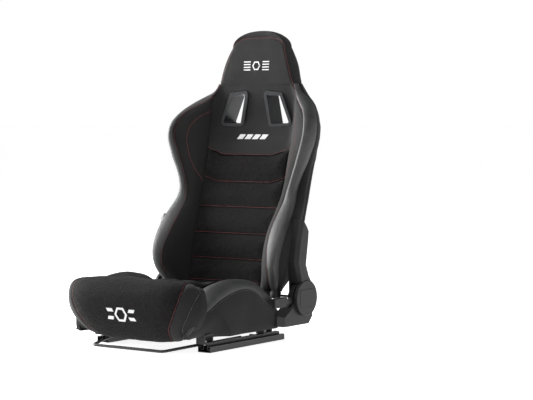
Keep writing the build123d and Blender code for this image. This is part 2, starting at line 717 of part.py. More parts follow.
# ---------------------------------------------------------------- backrest frame
frame_low = back_bottom + 36.0
knee_share = 0.546
half_hoop = [
    (tube_half, foam_back_y(share_at(frame_low)) + tube_offset, frame_low),
    (tube_half, foam_back_y(knee_share) + tube_offset + tube_clear, height(knee_share)),
    (0.676 * shoulder_half, head_tube_y, height(0.613)),
    (0.453 * shoulder_half, head_tube_y, height(0.773)),
    (0.255 * shoulder_half, head_tube_y, height(0.940)),
]  # fmt: skip
bolt_points = [(pivot_y + y, pivot_z + z) for y, z in arm_bolt_places]
with BuildPart() as back_frame:
    with BuildLine() as hoop:
        FilletPolyline(*half_hoop, *[(-x, y, z) for x, y, z in reversed(half_hoop)], radius=30.0)
    with BuildSketch(Plane(origin=hoop.line @ 0, z_dir=hoop.line % 0)):
        Circle(back_tube_radius)
    sweep()
    for x, y, z in (half_hoop[0], half_hoop[1]):
        with Locations((0, y, z + (3.0 if z > frame_low else 6.0))):
            Cylinder(back_tube_radius - 3.0, 2 * x, rotation=(0, 90, 0))
    for side in (-1, 1):
        for y, z in bolt_points:
            with Locations(Plane(origin=(side * bracket_x, y, z), z_dir=(side, 0, 0))):
                Cylinder(
                    8.0, arm_plate_x - bracket_x, align=(Align.CENTER, Align.CENTER, Align.MIN)
                )
                Cylinder(
                    bolt_radius + stud_gap, arm_plate_x - bracket_x + 2.0,
                    align=(Align.CENTER, Align.CENTER, Align.MIN), mode=Mode.SUBTRACT,
                )  # fmt: skip
        with BuildSketch(Plane(origin=(side * bracket_x, 0, 0), x_dir=(0, 1, 0), z_dir=(1, 0, 0))):
            low_y, low_z = bolt_points[0]
            high_y, high_z = bolt_points[1]
            Polygon(
                (low_y - 9, low_z - 12), (low_y + 34, low_z - 12), (high_y + 52, high_z + 12),
                (high_y - 9, high_z + 12), align=None,
            )  # fmt: skip
        extrude(amount=2.0, both=True)
write(back_frame.part, "back_frame")

plane_lean = along(back_plane, knee_share) - back_plane[0][1]
strap_tilt = math.degrees(math.atan2(plane_lean, knee_share * back_height))
with BuildPart() as back_straps:
    for share in strap_shares:
        middle = (0, foam_back_y(share) + 1.0, height(share))
        with Locations(Location(middle, (-strap_tilt, 0, 0))):
            Box(2 * tube_half, strap_thickness, strap_width)
write(back_straps.part, "back_straps")

# ---------------------------------------------------------------- backrest foam
def cut_to_panel(low, high):
    """The corners of the centre panel between those shares, as seen from the front."""
    return [
        (-panel_half(low), height(low)), (panel_half(low), height(low)),
        (panel_half(high), height(high)), (-panel_half(high), height(high)),
    ]  # fmt: skip


pad_shares = [s for s, _ in front_line if s < pad_split] + [pad_split]
with BuildPart() as back_pad:
    with BuildSketch(Plane.YZ.offset(-shoulder_half)):
        Polygon(
            *[(front_y(s), height(s)) for s in pad_shares],
            *[(foam_back_y(s), height(s)) for s in reversed(pad_shares)], align=None,
        )  # fmt: skip
    extrude(amount=2 * shoulder_half)
    with BuildSketch(Plane.XZ):
        Polygon(*cut_to_panel(0.0, pad_split), align=None)
    extrude(amount=-back_top, mode=Mode.INTERSECT)
write(back_pad.part, "back_pad")

head_start = pad_split + part_gap / back_height
head_shares = [head_start] + [s for s, _ in front_line if s > pad_split]
head_edge = [
    (panel_half(head_start), height(head_start)), (panel_half(wing_top), height(wing_top)),
    (half_width(wing_top), height(wing_top) + part_gap),
]  # fmt: skip
head_edge += [(half_width(s), height(s)) for s, _ in outline if s > wing_top]
with BuildPart() as head_pad:
    with BuildSketch(Plane.YZ.offset(-shoulder_half)):
        Polygon(
            *[(front_y(s), height(s)) for s in head_shares],
            *[(foam_back_y(s), height(s)) for s in (1.0, 0.613, knee_share, head_start)],
            align=None,
        )  # fmt: skip
    extrude(amount=2 * shoulder_half)
    with BuildSketch(Plane.XZ):
        Polygon(*head_edge, *[(-x, z) for x, z in reversed(head_edge)], align=None)
    extrude(amount=-back_top, mode=Mode.INTERSECT)
    for side in (-1, 1):
        with BuildSketch(Plane.XZ) as opening:
            Polygon(*harness_outline(side), align=None)
            fillet(opening.vertices(), 16.0)
            offset(amount=-hole_inset)
        extrude(amount=-back_top, mode=Mode.SUBTRACT)
write(head_pad.part, "head_pad")

# side wing: deep at the shoulder and the hips, shallow at the waist
with BuildPart() as back_wing:
    for share in [s for s in levels if s <= wing_top]:
        root = panel_half(share) + part_gap
        seam_x = shoulder_half * along(seam_line, share)
        edge = half_width(share)
        back = foam_back_y(share)
        back_edge = rear_half(share)
        seam_y = front_y(share) - along(wing_depth, share)
        with BuildSketch(Plane.XY.offset(height(share))):
            Polygon(
                (root, back), (root, front_y(share)), (seam_x, seam_y),
                ((seam_x + edge) / 2, seam_y - 4), (edge - 4, seam_y + 12),
                (edge, seam_y + 24), ((edge + back_edge) / 2, back - 14), (back_edge - 12, back),
                align=None,
            )  # fmt: skip
    loft(ruled=True)
    with BuildSketch(Plane(origin=(bracket_x, 0, 0), x_dir=(0, 1, 0), z_dir=(1, 0, 0))):
        Polygon(
            (low_y - 9, low_z - 12), (low_y + 70, low_z - 12), (high_y + 70, high_z + 12),
            (high_y - 9, high_z + 12), align=None,
        )  # fmt: skip
        offset(amount=part_gap, kind=Kind.INTERSECTION)
    extrude(amount=2.0 + part_gap, both=True, mode=Mode.SUBTRACT)
    for y, z in bolt_points:
        with Locations(Plane(origin=(bracket_x, y, z), z_dir=(1, 0, 0))):
            Cylinder(
                8.0 + part_gap, shoulder_half, align=(Align.CENTER, Align.CENTER, Align.MIN),
                mode=Mode.SUBTRACT,
            )  # fmt: skip
write_pair(back_wing.part, "back_wing")

# ---------------------------------------------------------------- backrest rear shell
# padded shallow tray that closes the backrest behind its frame
with BuildPart() as rear_cover:
    for share in levels:
        edge = rear_half(share) - rear_margin
        front = foam_back_y(share) + part_gap
        back = foam_back_y(share) + cavity_depth + rear_skin
        bevel = min(22.0, edge / 3)
        with BuildSketch(Plane.XY.offset(height(share))):
            Polygon(
                (-edge, front), (edge, front), (edge, back - bevel), (edge - bevel, back - 5),
                (0.4 * edge, back), (-0.4 * edge, back), (bevel - edge, back - 5),
                (-edge, back - bevel), align=None,
            )  # fmt: skip
    loft(ruled=True)
    for share in levels[:-1]:
        edge = rear_half(share) - rear_margin - rear_wall
        front = foam_back_y(share) - 2.0
        back = foam_back_y(share) + cavity_depth
        level = height(share) + (rear_wall if share == 0 else 0)
        with BuildSketch(Plane.XY.offset(level)):
            Polygon(
                (-edge, front), (edge, front), (edge, back - 12), (edge - 12, back),
                (12 - edge, back), (-edge, back - 12), align=None,
            )  # fmt: skip
    loft(ruled=True, mode=Mode.SUBTRACT)
    for side in (-1, 1):
        with BuildSketch(Plane.XZ) as opening:
            Polygon(*harness_outline(side), align=None)
            fillet(opening.vertices(), 16.0)
            offset(amount=-hole_inset)
        extrude(amount=-back_top, mode=Mode.SUBTRACT)
write(rear_cover.part, "rear_cover")

# ---------------------------------------------------------------- harness openings
# front bezel with its tunnel through the backrest, and the ring that closes it behind
with BuildPart() as harness_bezel:
    with BuildSketch(Plane.XZ.offset(bezel_proud - bezel_y)) as front_ring:
        Polygon(*harness_outline(1), align=None)
        fillet(front_ring.vertices(), 16.0)
    extrude(amount=-bezel_proud)
    chamfer(harness_bezel.faces().sort_by(Axis.Y)[0].edges(), 2.0)
    with BuildSketch(Plane.XZ.offset(-bezel_y)) as tunnel:
        Polygon(*harness_outline(1), align=None)
        fillet(tunnel.vertices(), 16.0)
        offset(amount=-hole_inset - part_gap)
    extrude(amount=-(rear_y + 1.0 - bezel_y))
    with BuildSketch(Plane.XZ) as mouth:
        Polygon(*harness_outline(1), align=None)
        fillet(mouth.vertices(), 16.0)
        offset(amount=-bezel_width)
    extrude(amount=-back_top, mode=Mode.SUBTRACT)
write_pair(harness_bezel.part, "harness_bezel")

with BuildPart() as harness_ring:
    with BuildSketch(Plane.XZ.offset(-rear_y - slip_gap)) as ring_face:
        Polygon(*harness_outline(1), align=None)
        fillet(ring_face.vertices(), 16.0)
    extrude(amount=-bezel_proud)
    chamfer(harness_ring.faces().sort_by(Axis.Y)[-1].edges(), 2.0)
    with BuildSketch(Plane.XZ) as ring_mouth:
        Polygon(*harness_outline(1), align=None)
        fillet(ring_mouth.vertices(), 16.0)
        offset(amount=-hole_inset - part_gap + running_gap)
    extrude(amount=-back_top, mode=Mode.SUBTRACT)
write_pair(harness_ring.part, "harness_ring")
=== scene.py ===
"""Upholstery, trim and finishes of a reclining sports seat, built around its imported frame."""

import json
import math

import bmesh
import bpy
import numpy as np
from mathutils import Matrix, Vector, kdtree, noise

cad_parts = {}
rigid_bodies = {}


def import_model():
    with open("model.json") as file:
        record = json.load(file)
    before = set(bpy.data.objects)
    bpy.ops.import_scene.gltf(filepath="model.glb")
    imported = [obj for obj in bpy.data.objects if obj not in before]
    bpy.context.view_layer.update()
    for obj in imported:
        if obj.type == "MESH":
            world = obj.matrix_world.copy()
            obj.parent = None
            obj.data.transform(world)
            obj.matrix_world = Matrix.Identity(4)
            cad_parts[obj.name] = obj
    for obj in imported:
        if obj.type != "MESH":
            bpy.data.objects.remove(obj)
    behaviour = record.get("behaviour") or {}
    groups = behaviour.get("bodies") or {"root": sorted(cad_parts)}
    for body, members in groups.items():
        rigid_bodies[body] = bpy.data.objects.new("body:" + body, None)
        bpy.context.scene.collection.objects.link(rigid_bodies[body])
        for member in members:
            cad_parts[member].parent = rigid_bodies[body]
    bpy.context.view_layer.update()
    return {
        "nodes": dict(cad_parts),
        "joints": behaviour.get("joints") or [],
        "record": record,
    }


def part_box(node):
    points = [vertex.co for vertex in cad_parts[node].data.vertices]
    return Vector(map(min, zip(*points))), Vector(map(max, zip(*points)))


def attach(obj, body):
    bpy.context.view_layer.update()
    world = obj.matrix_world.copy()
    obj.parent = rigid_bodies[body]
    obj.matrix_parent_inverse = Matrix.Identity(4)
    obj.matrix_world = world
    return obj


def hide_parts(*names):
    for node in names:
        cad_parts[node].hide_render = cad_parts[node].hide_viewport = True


bl_info = {
    "name": "Sports Seat Trim",
    "version": (1, 0, 0),
    "blender": (4, 5, 0),
    "location": "3D View > Sidebar > Seat",
    "description": "Upholsters a reclining sports seat and gives its hardware its finishes",
    "category": "Object",
}

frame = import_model()

# ---------------------------------------------------------------- places taken from the frame
RECLINE = next(j for j in frame["joints"] if j["name"] == "back_recline")
PIVOT = Vector(RECLINE["pos_m"])
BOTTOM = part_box("back_pad")[0].z
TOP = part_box("head_pad")[1].z
TALL = TOP - BOTTOM
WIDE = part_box("back_wing_right")[1].x
BACK_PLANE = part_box("head_pad")[1].y
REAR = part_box("rear_cover")[1].y
CUSHION_LOW, CUSHION_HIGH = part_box("cushion_core")
BOLSTER_LOW, BOLSTER_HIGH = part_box("cushion_bolster_right")
MM = 0.001


class Smooth:
    """A smooth curve through (place, value) rows, level beyond its ends."""

    def __init__(self, rows, scale=1.0, shift=0.0):
        self.place, value = np.array(rows, float).T
        self.value = value * scale + shift
        step = np.diff(self.place)
        rise = np.diff(self.value) / step
        inner = (rise[:-1] * step[1:] + rise[1:] * step[:-1]) / (step[1:] + step[:-1])
        self.slope = np.concatenate([rise[:1], inner, rise[-1:]])

    def __call__(self, x):
        x = np.clip(x, self.place[0], self.place[-1])
        i = np.clip(np.searchsorted(self.place, x) - 1, 0, len(self.place) - 2)
        h = self.place[i + 1] - self.place[i]
        t = (x - self.place[i]) / h
        ends = (2 * t**3 - 3 * t**2 + 1) * self.value[i] + (3 * t**2 - 2 * t**3) * self.value[i + 1]
        return ends + h * ((t**3 - 2 * t**2 + t) * self.slope[i] + (t**3 - t**2) * self.slope[i + 1])


# The backrest's lines, by share of its height: widths as shares of the shoulders' half width,
# depths in millimetres from the recliner's pivot.
side_line = Smooth([
    (0.0, 0.770), (0.036, 0.835), (0.106, 0.883), (0.174, 0.898), (0.261, 0.880), (0.331, 0.836),
    (0.367, 0.818), (0.421, 0.847), (0.509, 0.945), (0.590, 1.0), (0.663, 0.955), (0.703, 0.858),
    (0.730, 0.748), (0.757, 0.622), (0.790, 0.563), (0.870, 0.493), (0.934, 0.405),
], WIDE)  # fmt: skip
seam_x = Smooth([
    (0.0, 0.70), (0.059, 0.745), (0.117, 0.748), (0.19, 0.723), (0.264, 0.704), (0.319, 0.697),
    (0.374, 0.723), (0.448, 0.796), (0.521, 0.876), (0.595, 0.938), (0.632, 0.925), (0.663, 0.880),
    (0.687, 0.815), (0.712, 0.712), (0.736, 0.620), (0.767, 0.560), (0.804, 0.515), (0.877, 0.440),
    (0.945, 0.361),
], WIDE)  # fmt: skip
seam_y = Smooth([
    (0.0, -68), (0.03, -88), (0.059, -101), (0.086, -109), (0.117, -111), (0.153, -106),
    (0.19, -93), (0.227, -75), (0.264, -51), (0.3, -25), (0.337, -2), (0.374, 11), (0.411, 18),
    (0.448, 21), (0.521, 20), (0.595, 21), (0.632, 28), (0.663, 41), (0.687, 58), (0.712, 82),
    (0.736, 104), (0.767, 118), (0.84, 123), (0.914, 131), (0.945, 139),
], MM, PIVOT.y)  # fmt: skip
centre_y = Smooth([
    (0.0, -60), (0.103, -33), (0.201, -9), (0.302, 25), (0.42, 56), (0.507, 72), (0.546, 88),
    (0.585, 112), (0.625, 126), (0.76, 129), (0.842, 127), (0.882, 130), (0.945, 139),
], MM, PIVOT.y)  # fmt: skip
panel_x = Smooth([
    (0.0, 0.52), (0.153, 0.544), (0.252, 0.566), (0.35, 0.584), (0.448, 0.591), (0.546, 0.599),
    (0.656, 0.606), (1.0, 0.606),
], WIDE)  # fmt: skip
panel_y = Smooth([
    (0.0, -62), (0.104, -34), (0.202, -10), (0.302, 23), (0.399, 50), (0.497, 70), (0.546, 80),
    (0.607, 92), (0.656, 98), (0.70, 103), (0.745, 112), (0.77, 119), (0.84, 124), (0.945, 138),
], MM, PIVOT.y)  # fmt: skip
foam_back = Smooth([
    (0.0, -30), (0.5, 101), (0.546, 114), (0.58, 136), (0.613, 152), (0.66, 155), (1.0, 155),
], MM, PIVOT.y)  # fmt: skip
roll_out = Smooth([
    (0.0, -5), (0.30, -5), (0.42, 1), (0.52, 4), (0.60, 4), (0.66, 0), (0.72, -2), (0.789, 0),
], MM)  # fmt: skip
rear_x = Smooth([
    (0.0, 0.745), (0.036, 0.812), (0.106, 0.860), (0.174, 0.876), (0.26, 0.880), (0.33, 0.880),
    (0.416, 0.872), (0.477, 0.874), (0.539, 0.885), (0.569, 0.860), (0.60, 0.828),
    (0.631, 0.806), (0.663, 0.780), (0.694, 0.730), (0.725, 0.680), (0.757, 0.610),
    (0.789, 0.545), (1.0, 0.545),
], WIDE)  # fmt: skip
BAND_DEPTH = Smooth([
    (0.0, 16), (0.1, 22), (0.3, 25), (0.42, 27), (0.5, 38), (0.6, 50), (0.7, 44), (0.75, 30), (0.8, 22),
], MM)  # fmt: skip
BULGE_LIMIT = 0.022  # most of a band's depth that counts for how far it bulges
RECLINER_GAP = 0.2410  # the arms of the recliner start outside this
DOME = 0.934  # share of the height where the head starts to round over
HOOD = 0.789  # share of the height of the hood's seam
SEAMS = [((0.536, 0.507), 0.61), ((0.420, 0.399), 0.66), (0.302, 0), (0.201, 0), (0.103, 0), (0.018, 0)]
HOLE = [(0.186, 0.617), (0.544, 0.621), (0.376, 0.756), (0.099, 0.767)]
HOLE_INSET = 0.0085  # how far the covers' openings stay inside the bezels'
HOLE_ROUND = 0.012  # length of a rounded corner's sides
SHARP = math.radians(50)  # a sharper edge than this isn't smoothed
SLACK = 0.002  # how far a cover stands behind the foam, or in front of the rear


def rear_half(s):
    """Half width where a wing meets the rear shell."""
    return float(min(rear_x(s), RECLINER_GAP))


def share(z):
    return (z - BOTTOM) / TALL


def level(s):
    return BOTTOM + s * TALL


def inner_x(s):
    """Half width of the part of the backrest between the wings."""
    return np.minimum(panel_x(s), seam_x(s) - 0.0005)


def cross_seam(number, x):
    """Height of a cross seam at that distance from the middle line."""
    drop, bend = SEAMS[number]
    if not bend:
        return level(drop) + 0 * x
    end = inner_x(drop[0])
    along = np.clip((np.abs(x) - bend * end) / ((1 - bend) * end), 0, 1)
    return level(drop[1] + (drop[0] - drop[1]) * along)


def front_surface(x, z):
    """Depth of the backrest's front between the wings."""
    s = share(z)
    edge = inner_x(s)
    rise = np.clip(np.abs(x) / edge, 0, 1) ** 14
    return centre_y(s) + (panel_y(s) - centre_y(s)) * rise


# ---------------------------------------------------------------- settings
def length(name, words, value, least=0.0):
    return bpy.props.FloatProperty(name=name, description=words, default=value, min=least, unit="LENGTH")


class SeatSizes(bpy.types.PropertyGroup):
    """Sizes of the sewn work."""

    seam_depth: length("Seam depth", "How far a seam pulls the cover in", 0.0045)
    seam_width: length("Seam width", "Half width of the crease along a seam", 0.0035, 0.001)
    puff: length("Puff", "How far the padding swells between seams", 0.0065)
    stitch_length: length("Stitch length", "Length of one stitch", 0.0036, 0.001)
    stitch_pitch: length("Stitch pitch", "Distance from stitch to stitch", 0.0050, 0.001)
    thread: length("Thread", "Radius of the sewing thread", 0.00055, 0.0001)
    grid: length("Mesh step", "Largest face of the covers", 0.0042, 0.001)


def colour(name, words, value):
    return bpy.props.FloatVectorProperty(
        name=name, description=words, default=value, min=0, max=1, size=3, subtype="COLOR")


class SeatColours(bpy.types.PropertyGroup):
    """Colours of the covers and the hardware."""

    knit: colour("Knit", "Sandwich mesh of the centre panels", (0.0040, 0.0036, 0.0036))
    cloth: colour("Cloth", "Smooth cloth of the head, wings and sides", (0.0105, 0.0096, 0.0096))
    vinyl: colour("Vinyl", "Grained vinyl of the bands", (0.0350, 0.0354, 0.0360))
    red_thread: colour("Red thread", "Accent stitching", (0.26, 0.018, 0.022))
    grey_thread: colour("Grey thread", "Plain stitching", (0.10, 0.10, 0.105))
    patch: colour("Patch", "Embroidered marks", (0.78, 0.78, 0.78))
    plastic: colour("Plastic", "Moulded recliner covers", (0.0095, 0.0095, 0.0100))
    bezel: colour("Bezel", "Harness bezels", (0.009, 0.010, 0.012))
    steel: colour("Steel", "Enamelled steel", (0.009, 0.009, 0.010))


# ---------------------------------------------------------------- shader maths
class Wire:
    """A value or a socket in a node tree; expressions on it add Math nodes."""

    def __init__(self, shade, socket):
        self.shade = shade
        self.socket = socket

    def maths(self, operation, left, right):
        return self.shade.add("ShaderNodeMath", {"operation": operation}, {0: left, 1: right})

    def __add__(self, other):
        return self.maths("ADD", self, other)

    def __radd__(self, other):
        return self.maths("ADD", other, self)

    def __mul__(self, other):
        return self.maths("MULTIPLY", self, other)


class Shade:
    """A material under construction, with its principled shader."""

    def __init__(self, name, base, roughness, **fixed):
        self.material = bpy.data.materials.new(name)
        self.material.use_nodes = True
        self.tree = self.material.node_tree
        self.shader = self.tree.nodes["Principled BSDF"]
        self.shader.inputs["Base Color"].default_value = (*base, 1)
        self.shader.inputs["Roughness"].default_value = roughness
        self.material.diffuse_color = (*base, 1)
        for socket, value in fixed.items():
            self.shader.inputs[socket.replace("_", " ")].default_value = value
        self.place = self.add("ShaderNodeTexCoord", {}, {}, "Object")

    def add(self, kind, settings, inputs, output=0):
        """Adds a node: its settings first, then its inputs' values or links."""
        node = self.tree.nodes.new(kind)
        for key, value in settings.items():
            setattr(node, key, value)
        for key, value in inputs.items():
            if isinstance(value, Wire):
                self.tree.links.new(value.socket, node.inputs[key])
            else:
                node.inputs[key].default_value = value
        return Wire(self, node.outputs[output])

    def noise(self, size, detail=3.0, place=None):
        return self.add("ShaderNodeTexNoise", {}, {
            "Vector": place or self.place, "Scale": 1 / size, "Detail": detail, "Roughness": 0.55})

    def cells(self, size, feature="F1", place=None):
        return self.add("ShaderNodeTexVoronoi", {"feature": feature}, {
            "Vector": place or self.place, "Scale": 1 / size}, "Distance")

    def bands(self, direction, scale, **inputs):
        return self.add("ShaderNodeTexWave", {"wave_type": "BANDS", "bands_direction": direction}, {
            "Vector": self.place, "Scale": scale, **inputs}, "Fac")

    def stretched(self, x, y, z):
        return self.add("ShaderNodeMapping", {}, {"Vector": self.place, "Scale": (x, y, z)})

    def tint(self, factor, tone, dark, light):
        """Colours the surface between a dark and a light share of its tone."""
        ends = [tuple(min(1.0, channel * part) for channel in tone) for part in (dark, light)]
        self.set("Base Color", self.add("ShaderNodeMix", {"data_type": "RGBA"}, {
            0: factor, 6: (*ends[0], 1), 7: (*ends[1], 1)}, 2))

    def ramp(self, factor, low, high):
        return self.add("ShaderNodeMapRange", {}, {
            "Value": factor, "From Min": low, "From Max": high})

    def set(self, socket, wire):
        self.tree.links.new(wire.socket, self.shader.inputs[socket])

    def bump(self, *layers):
        """Chains bumps, each (height, distance in metres), into the normal and hands the material back."""
        below = None
        for height, distance in layers:
            inputs = {"Height": height, "Distance": distance, "Strength": 1.0}
            if below:
                inputs["Normal"] = below
            below = self.add("ShaderNodeBump", {}, inputs)
        self.set("Normal", below)
        return self.material


def knit_material(tone):
    """Black sandwich mesh: rows of small open cells over a slightly uneven ground."""
    shade = Shade("knit_mesh", tone, 0.88, Sheen_Weight=0.03, Sheen_Roughness=0.5, Specular_IOR_Level=0.12)
    cell = shade.cells(0.0026, place=shade.stretched(1.0, 1.0, 0.75))
    holes = shade.ramp(cell, 0.15, 0.55)
    cloud = shade.ramp(shade.noise(0.0075, 3.0), 0.32, 0.68)
    wear = shade.noise(0.09, 2.0)
    shade.tint(shade.ramp(holes * 0.40 + cloud * 0.55 + wear * 0.25, 0.25, 1.0), tone, 0.35, 2.4)
    shade.set("Roughness", 0.74 + holes * 0.18)
    return shade.bump((cloud, 0.0010), (holes, 0.0007))


def cloth_material(tone):
    """Smooth dark upholstery cloth with a fine twill and a soft nap."""
    shade = Shade("smooth_cloth", tone, 0.85, Sheen_Weight=0.10, Sheen_Roughness=0.5, Specular_IOR_Level=0.18)
    twill = shade.bands("DIAGONAL", 330.0, Distortion=1.2, Detail=1.0)
    nap = shade.noise(0.0022, 3.0)
    wear = shade.noise(0.12, 3.0)
    shade.tint(shade.ramp(twill * 0.25 + nap * 0.5 + wear * 0.45, 0.3, 0.9), tone, 0.62, 1.5)
    shade.set("Roughness", 0.74 + nap * 0.16)
    return shade.bump((wear, 0.0015), (twill * 0.5 + nap, 0.00035))


def vinyl_material(tone):
    """Satin black vinyl with a fine leather grain and slow waves from its backing."""
    shade = Shade("grained_vinyl", tone, 0.50, Specular_IOR_Level=0.45)
    grain = shade.cells(0.0017, "SMOOTH_F1")
    creases = shade.cells(0.0032, "DISTANCE_TO_EDGE")
    waves = shade.noise(0.05, 2.0)
    shade.tint(shade.ramp(waves, 0.3, 0.7), tone, 0.8, 1.25)
    shade.set("Roughness", 0.50 + waves * 0.08 + grain * 0.08)
    return shade.bump((waves, 0.0010), (grain, 0.00028), (shade.ramp(creases, 0.0, 0.12), 0.00012))


def thread_material(tone, name):
    """Twisted polyester thread."""
    shade = Shade(name, tone, 0.55, Sheen_Weight=0.3)
    fibre = shade.noise(0.0006, 2.0)
    shade.tint(fibre, tone, 0.6, 1.35)
    return shade.bump((fibre, 0.0002))


def patch_material(tone):
    """Raised white embroidery in slanting satin stitch."""
    shade = Shade("white_embroidery", tone, 0.6, Sheen_Weight=0.2)
    rows = shade.bands("DIAGONAL", 260.0, Distortion=0.4)
    shade.tint(rows, tone, 0.78, 1.0)
    return shade.bump((rows, 0.0003))


def plastic_material(tone, name, roughness, grain):
    """Moulded plastic with a spark-eroded grain and faint flow marks."""
    shade = Shade(name, tone, roughness, Specular_IOR_Level=0.45)
    pits = shade.noise(grain, 2.0)
    flow = shade.noise(0.06, 2.0, shade.stretched(1.0, 1.0, 2.5))
    shade.tint(flow, tone, 0.8, 1.25)
    shade.set("Roughness", roughness - 0.06 + flow * 0.06 + pits * 0.08)
    return shade.bump((pits, 0.00018))


def metal_material(tone, name, metallic, roughness, grain=0.004):
    """Metal whose polish or enamel varies a little over its surface."""
    shade = Shade(name, tone, roughness, Metallic=metallic)
    smudge = shade.noise(0.03, 4.0)
    orange = shade.noise(grain, 2.0)
    shade.tint(smudge, tone, 0.82, 1.18)
    shade.set("Roughness", roughness - UNEVEN_POLISH / 2 + smudge * UNEVEN_POLISH)
    return shade.bump((orange, 0.0001))


def webbing_material(tone):
    """Woven elastic webbing."""
    shade = Shade("elastic_webbing", tone, 0.8)
    weave = shade.bands("Z", 200.0)
    shade.tint(weave, tone, 0.5, 1.5)
    return shade.bump((weave, 0.0004))


UNEVEN_POLISH = 0.18  # how far a metal's roughness varies
# Each material slot's maker, its colour (or the setting that holds it) and the maker's other values.
FINISHES = {
    "knit_fabric": (knit_material, "knit"),
    "suede_fabric": (cloth_material, "cloth"),
    "vinyl": (vinyl_material, "vinyl"),
    "red_thread": (thread_material, "red_thread", "red_thread"),
    "grey_thread": (thread_material, "grey_thread", "grey_thread"),
    "patch": (patch_material, "patch"),
    "cover_plastic": (plastic_material, "plastic", "cover_plastic", 0.5, 0.0011),
    "bezel_plastic": (plastic_material, "bezel", "bezel_plastic", 0.34, 0.0008),
    "cage_plastic": (plastic_material, (0.6, 0.58, 0.52), "cage_nylon", 0.5, 0.0011),
    "rail_steel": (metal_material, "steel", "rail_enamel", 0.0, 0.34),
    "frame_steel": (metal_material, "steel", "frame_powder_coat", 0.0, 0.45, 0.0016),
    "bright_steel": (metal_material, (0.46, 0.46, 0.48), "bright_steel", 1.0, 0.26),
    "zinc_steel": (metal_material, (0.30, 0.30, 0.31), "zinc_steel", 1.0, 0.42),
    "strap_fabric": (webbing_material, (0.03, 0.03, 0.03)),
}
MADE = {}


def material(name):
    """The finish of that name, made the first time it is asked for."""
    if name not in MADE:
        maker, tone, *rest = FINISHES[name]
        if isinstance(tone, str):
            tone = tuple(getattr(bpy.context.scene.seat_colours, tone))
        MADE[name] = maker(tone, *rest)
    return MADE[name]


# ---------------------------------------------------------------- mesh helpers
def grid_mesh(name, rows, finishes, column_finish=None):
    """A closed tube of quads through equal rows of points, each row a closed loop, with its ends capped."""
    rows = np.asarray(rows, float)
    height, count, _ = rows.shape
    below = np.arange(count)
    after = (below + 1) % count
    faces = []
    for start in range(0, (height - 1) * count, count):
        quads = np.stack([start + below, start + after, start + count + after, start + count + below], 1)
        faces.extend(quads.tolist())
    kinds = (column_finish or [0] * count) * (height - 1)
    points = rows.reshape(-1, 3).tolist()
    for row, flip in ((0, True), (height - 1, False)):
        hub = len(points)
        points.append(rows[row].mean(0).tolist())
        for a, b in zip((row * count + below).tolist(), (row * count + after).tolist()):
            faces.append([b, a, hub] if flip else [a, b, hub])
            kinds.append(0)
    mesh = bpy.data.meshes.new(name)
    mesh.from_pydata(points, [], faces)
    mesh.polygons.foreach_set("material_index", kinds)
    for finish in finishes:
        mesh.materials.append(material(finish))
    clean(mesh)
    return linked(name, mesh)


def linked(name, data):
    """A new object with that data, in the scene."""
    piece = bpy.data.objects.new(name, data)
    bpy.context.scene.collection.objects.link(piece)
    return piece


def clean(mesh):
    """Merges doubles, drops empty faces, turns the faces outwards and smooths them."""
    work = bmesh.new()
    work.from_mesh(mesh)
    bmesh.ops.remove_doubles(work, verts=work.verts, dist=2e-5)
    bmesh.ops.dissolve_degenerate(work, edges=work.edges, dist=1e-6)
    bmesh.ops.recalc_face_normals(work, faces=work.faces)
    if work.calc_volume(signed=True) < 0:
        bmesh.ops.reverse_faces(work, faces=work.faces)
    work.to_mesh(mesh)
    work.free()
    smooth(mesh)


def smooth(mesh):
    mesh.shade_smooth()
    mesh.set_sharp_from_angle(angle=SHARP)


def swell(piece, height, shown):
    """Moves the cover's points out by what height gives for them, where it is shown."""
    mesh = piece.data
    points, normals = np.empty((2, len(mesh.vertices) * 3))
    mesh.vertices.foreach_get("co", points)
    mesh.vertex_normals.foreach_get("vector", normals)
    points = points.reshape(-1, 3)
    lift = height(points)
    if shown is not None:
        lift *= shown(points)
    points += normals.reshape(-1, 3) * lift[:, None]
    mesh.vertices.foreach_set("co", points.ravel())
    mesh.update()


def sew(piece, seams, depth, width, puff, reach=0.03, shown=None):
    """Pulls the cover in along seam lines and lets the padding swell between them."""
    lines = np.concatenate([finer(seam, width / 2) for seam in seams])
    tree = kdtree.KDTree(len(lines))
    for index, point in enumerate(lines):
        tree.insert(point, index)
    tree.balance()

    def height(points):
        gap = np.array([tree.find(point)[2] for point in points])
        return puff * (1 - np.exp(-((gap / reach) ** 2))) - depth * np.exp(-((gap / width) ** 2))

    swell(piece, height, shown)


def ripple(piece, height, size, stretch=(1, 1, 1), shown=None):
    """Slow unevenness of hand-fitted padding."""
    def waves(points):
        return height * np.array([noise.noise(Vector(p * stretch) / size) for p in points])

    swell(piece, waves, shown)


def run_of(points):
    """How far along a line each of its points is."""
    return np.concatenate([[0], np.cumsum(np.linalg.norm(np.diff(points, axis=0), axis=1))])


def even(line, along, count):
    """That many points at an even step on a line."""
    places = np.linspace(0, along[-1], count)
    return np.stack([np.interp(places, along, line[:, axis]) for axis in range(3)], 1)


def finer(line, step):
    """The line's points again, at an even step."""
    line = np.asarray(line, float)
    along = run_of(line)
    return even(line, along, max(2, int(along[-1] / step) + 1))


def blended(points, count):
    """An even run of points on a smooth curve through a few."""
    points = np.asarray(points, float)
    lengths = np.linalg.norm(np.diff(points, axis=0), axis=1) ** 0.5
    along = np.concatenate([[0], np.cumsum(lengths)])
    fine = np.linspace(0, along[-1], 12 * count)
    curve = np.stack([Smooth(np.stack([along, points[:, axis]], 1))(fine) for axis in range(3)], 1)
    return even(curve, run_of(curve), count)


def straight(start, end, count):
    """Points from start towards end, without the end itself."""
    t = np.linspace(0, 1, count, endpoint=False)[:, None]
    return np.asarray(start) * (1 - t) + np.asarray(end) * t


def finish_piece(piece, body, replaced=()):
    """Hangs the piece on the body it rides on and hides the frame parts it stands for."""
    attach(piece, body)
    if replaced:
        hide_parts(*replaced)
    return piece


